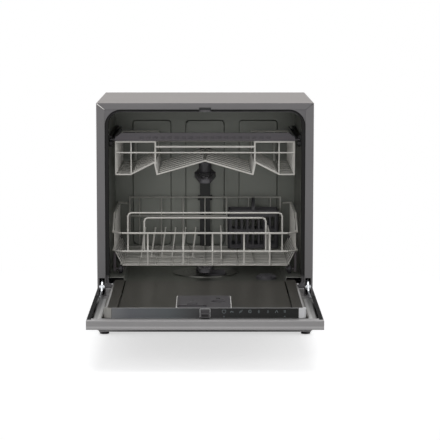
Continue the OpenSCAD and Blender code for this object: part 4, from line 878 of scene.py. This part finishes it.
# Wheels: dark acetal rollers that snap on axles, in brackets clipped over the band wire.
# The brackets are moulded in a slightly paler grey.
dark_plastic = moulding("dark_moulding", chip(58, 56, 60), 0.38)
for name in ("wheel_front_left", "wheel_front_right", "wheel_rear_left", "wheel_rear_right"):
    finish_node(name, 0.6 * mm, dark_plastic)
bracket_plastic = moulding("bracket_moulding", chip(88, 82, 86), 0.4)
finish_node("wheel_brackets", 0.8 * mm, bracket_plastic)

# Cutlery basket: a thin-walled slotted moulding with a carrying handle, standing in the lower basket.
# It is one piece of grey polypropylene, held only by its own weight.
finish_node("cutlery_basket", 0.7 * mm, grey_plastic)

# Upper basket: the same coated wire, with a bin each side and a ridge over the spray arm.
# Its mats are bent, spot-welded and dipped like those of the lower basket.
for name in ("upper_basket_ends", "upper_basket_sides", "upper_basket_floor"):
    finish_node(name, 0, coated_wire)

# Front trim of the upper basket: a slotted bar moulded in dark plum-grey, snapped on the rim wire.
# The runners at the basket's sides are grey mouldings that rest on the rollers.
trim_plastic = moulding("trim_moulding", chip(82, 78, 82), 0.36)
trim_front, slot_z = 35 * mm, 504.8 * mm
slot_pitch, slot_count = 18 * mm, 19


def cut_slots(trim):
    """Nineteen round-ended pockets milled into the front of the bar."""
    cutter = block("slot_cutter", (-5.5 * mm, trim_front - 2 * mm, slot_z - 2.5 * mm),
                   (5.5 * mm, trim_front + 2.2 * mm, slot_z + 2.5 * mm))
    cutter.data.transform(Matrix.Translation((-(slot_count // 2) * slot_pitch, 0, 0)))
    take(cutter)
    rounded = cutter.modifiers.new("ends", "BEVEL")
    rounded.width = 1.6 * mm
    rounded.segments = 4
    bpy.ops.object.modifier_apply(modifier=rounded.name)
    row = cutter.modifiers.new("row", "ARRAY")
    row.count = slot_count
    row.use_relative_offset = False
    row.use_constant_offset = True
    row.constant_offset_displace = (slot_pitch, 0, 0)
    bpy.ops.object.modifier_apply(modifier=row.name)
    take(trim)
    cut = trim.modifiers.new("slots", "BOOLEAN")
    cut.object = cutter
    cut.operation = "DIFFERENCE"
    cut.solver = "EXACT"
    bpy.ops.object.modifier_apply(modifier=cut.name)
    bpy.data.objects.remove(cutter)


finish_node("upper_basket_trim", 0.35 * mm, trim_plastic, shape=cut_slots)
finish_node("upper_basket_runners", 0.6 * mm, grey_plastic)

# Spray arms: two welded halves of grey polypropylene with raised jets, spinning on threaded hubs.
# The lower hub rises from the sump, and the upper arm turns on the manifold's shaft.
for name in ("lower_arm_hub", "lower_spray_arm", "upper_manifold", "upper_spray_arm"):
    finish_node(name, 1.0 * mm, grey_plastic, turns=3)
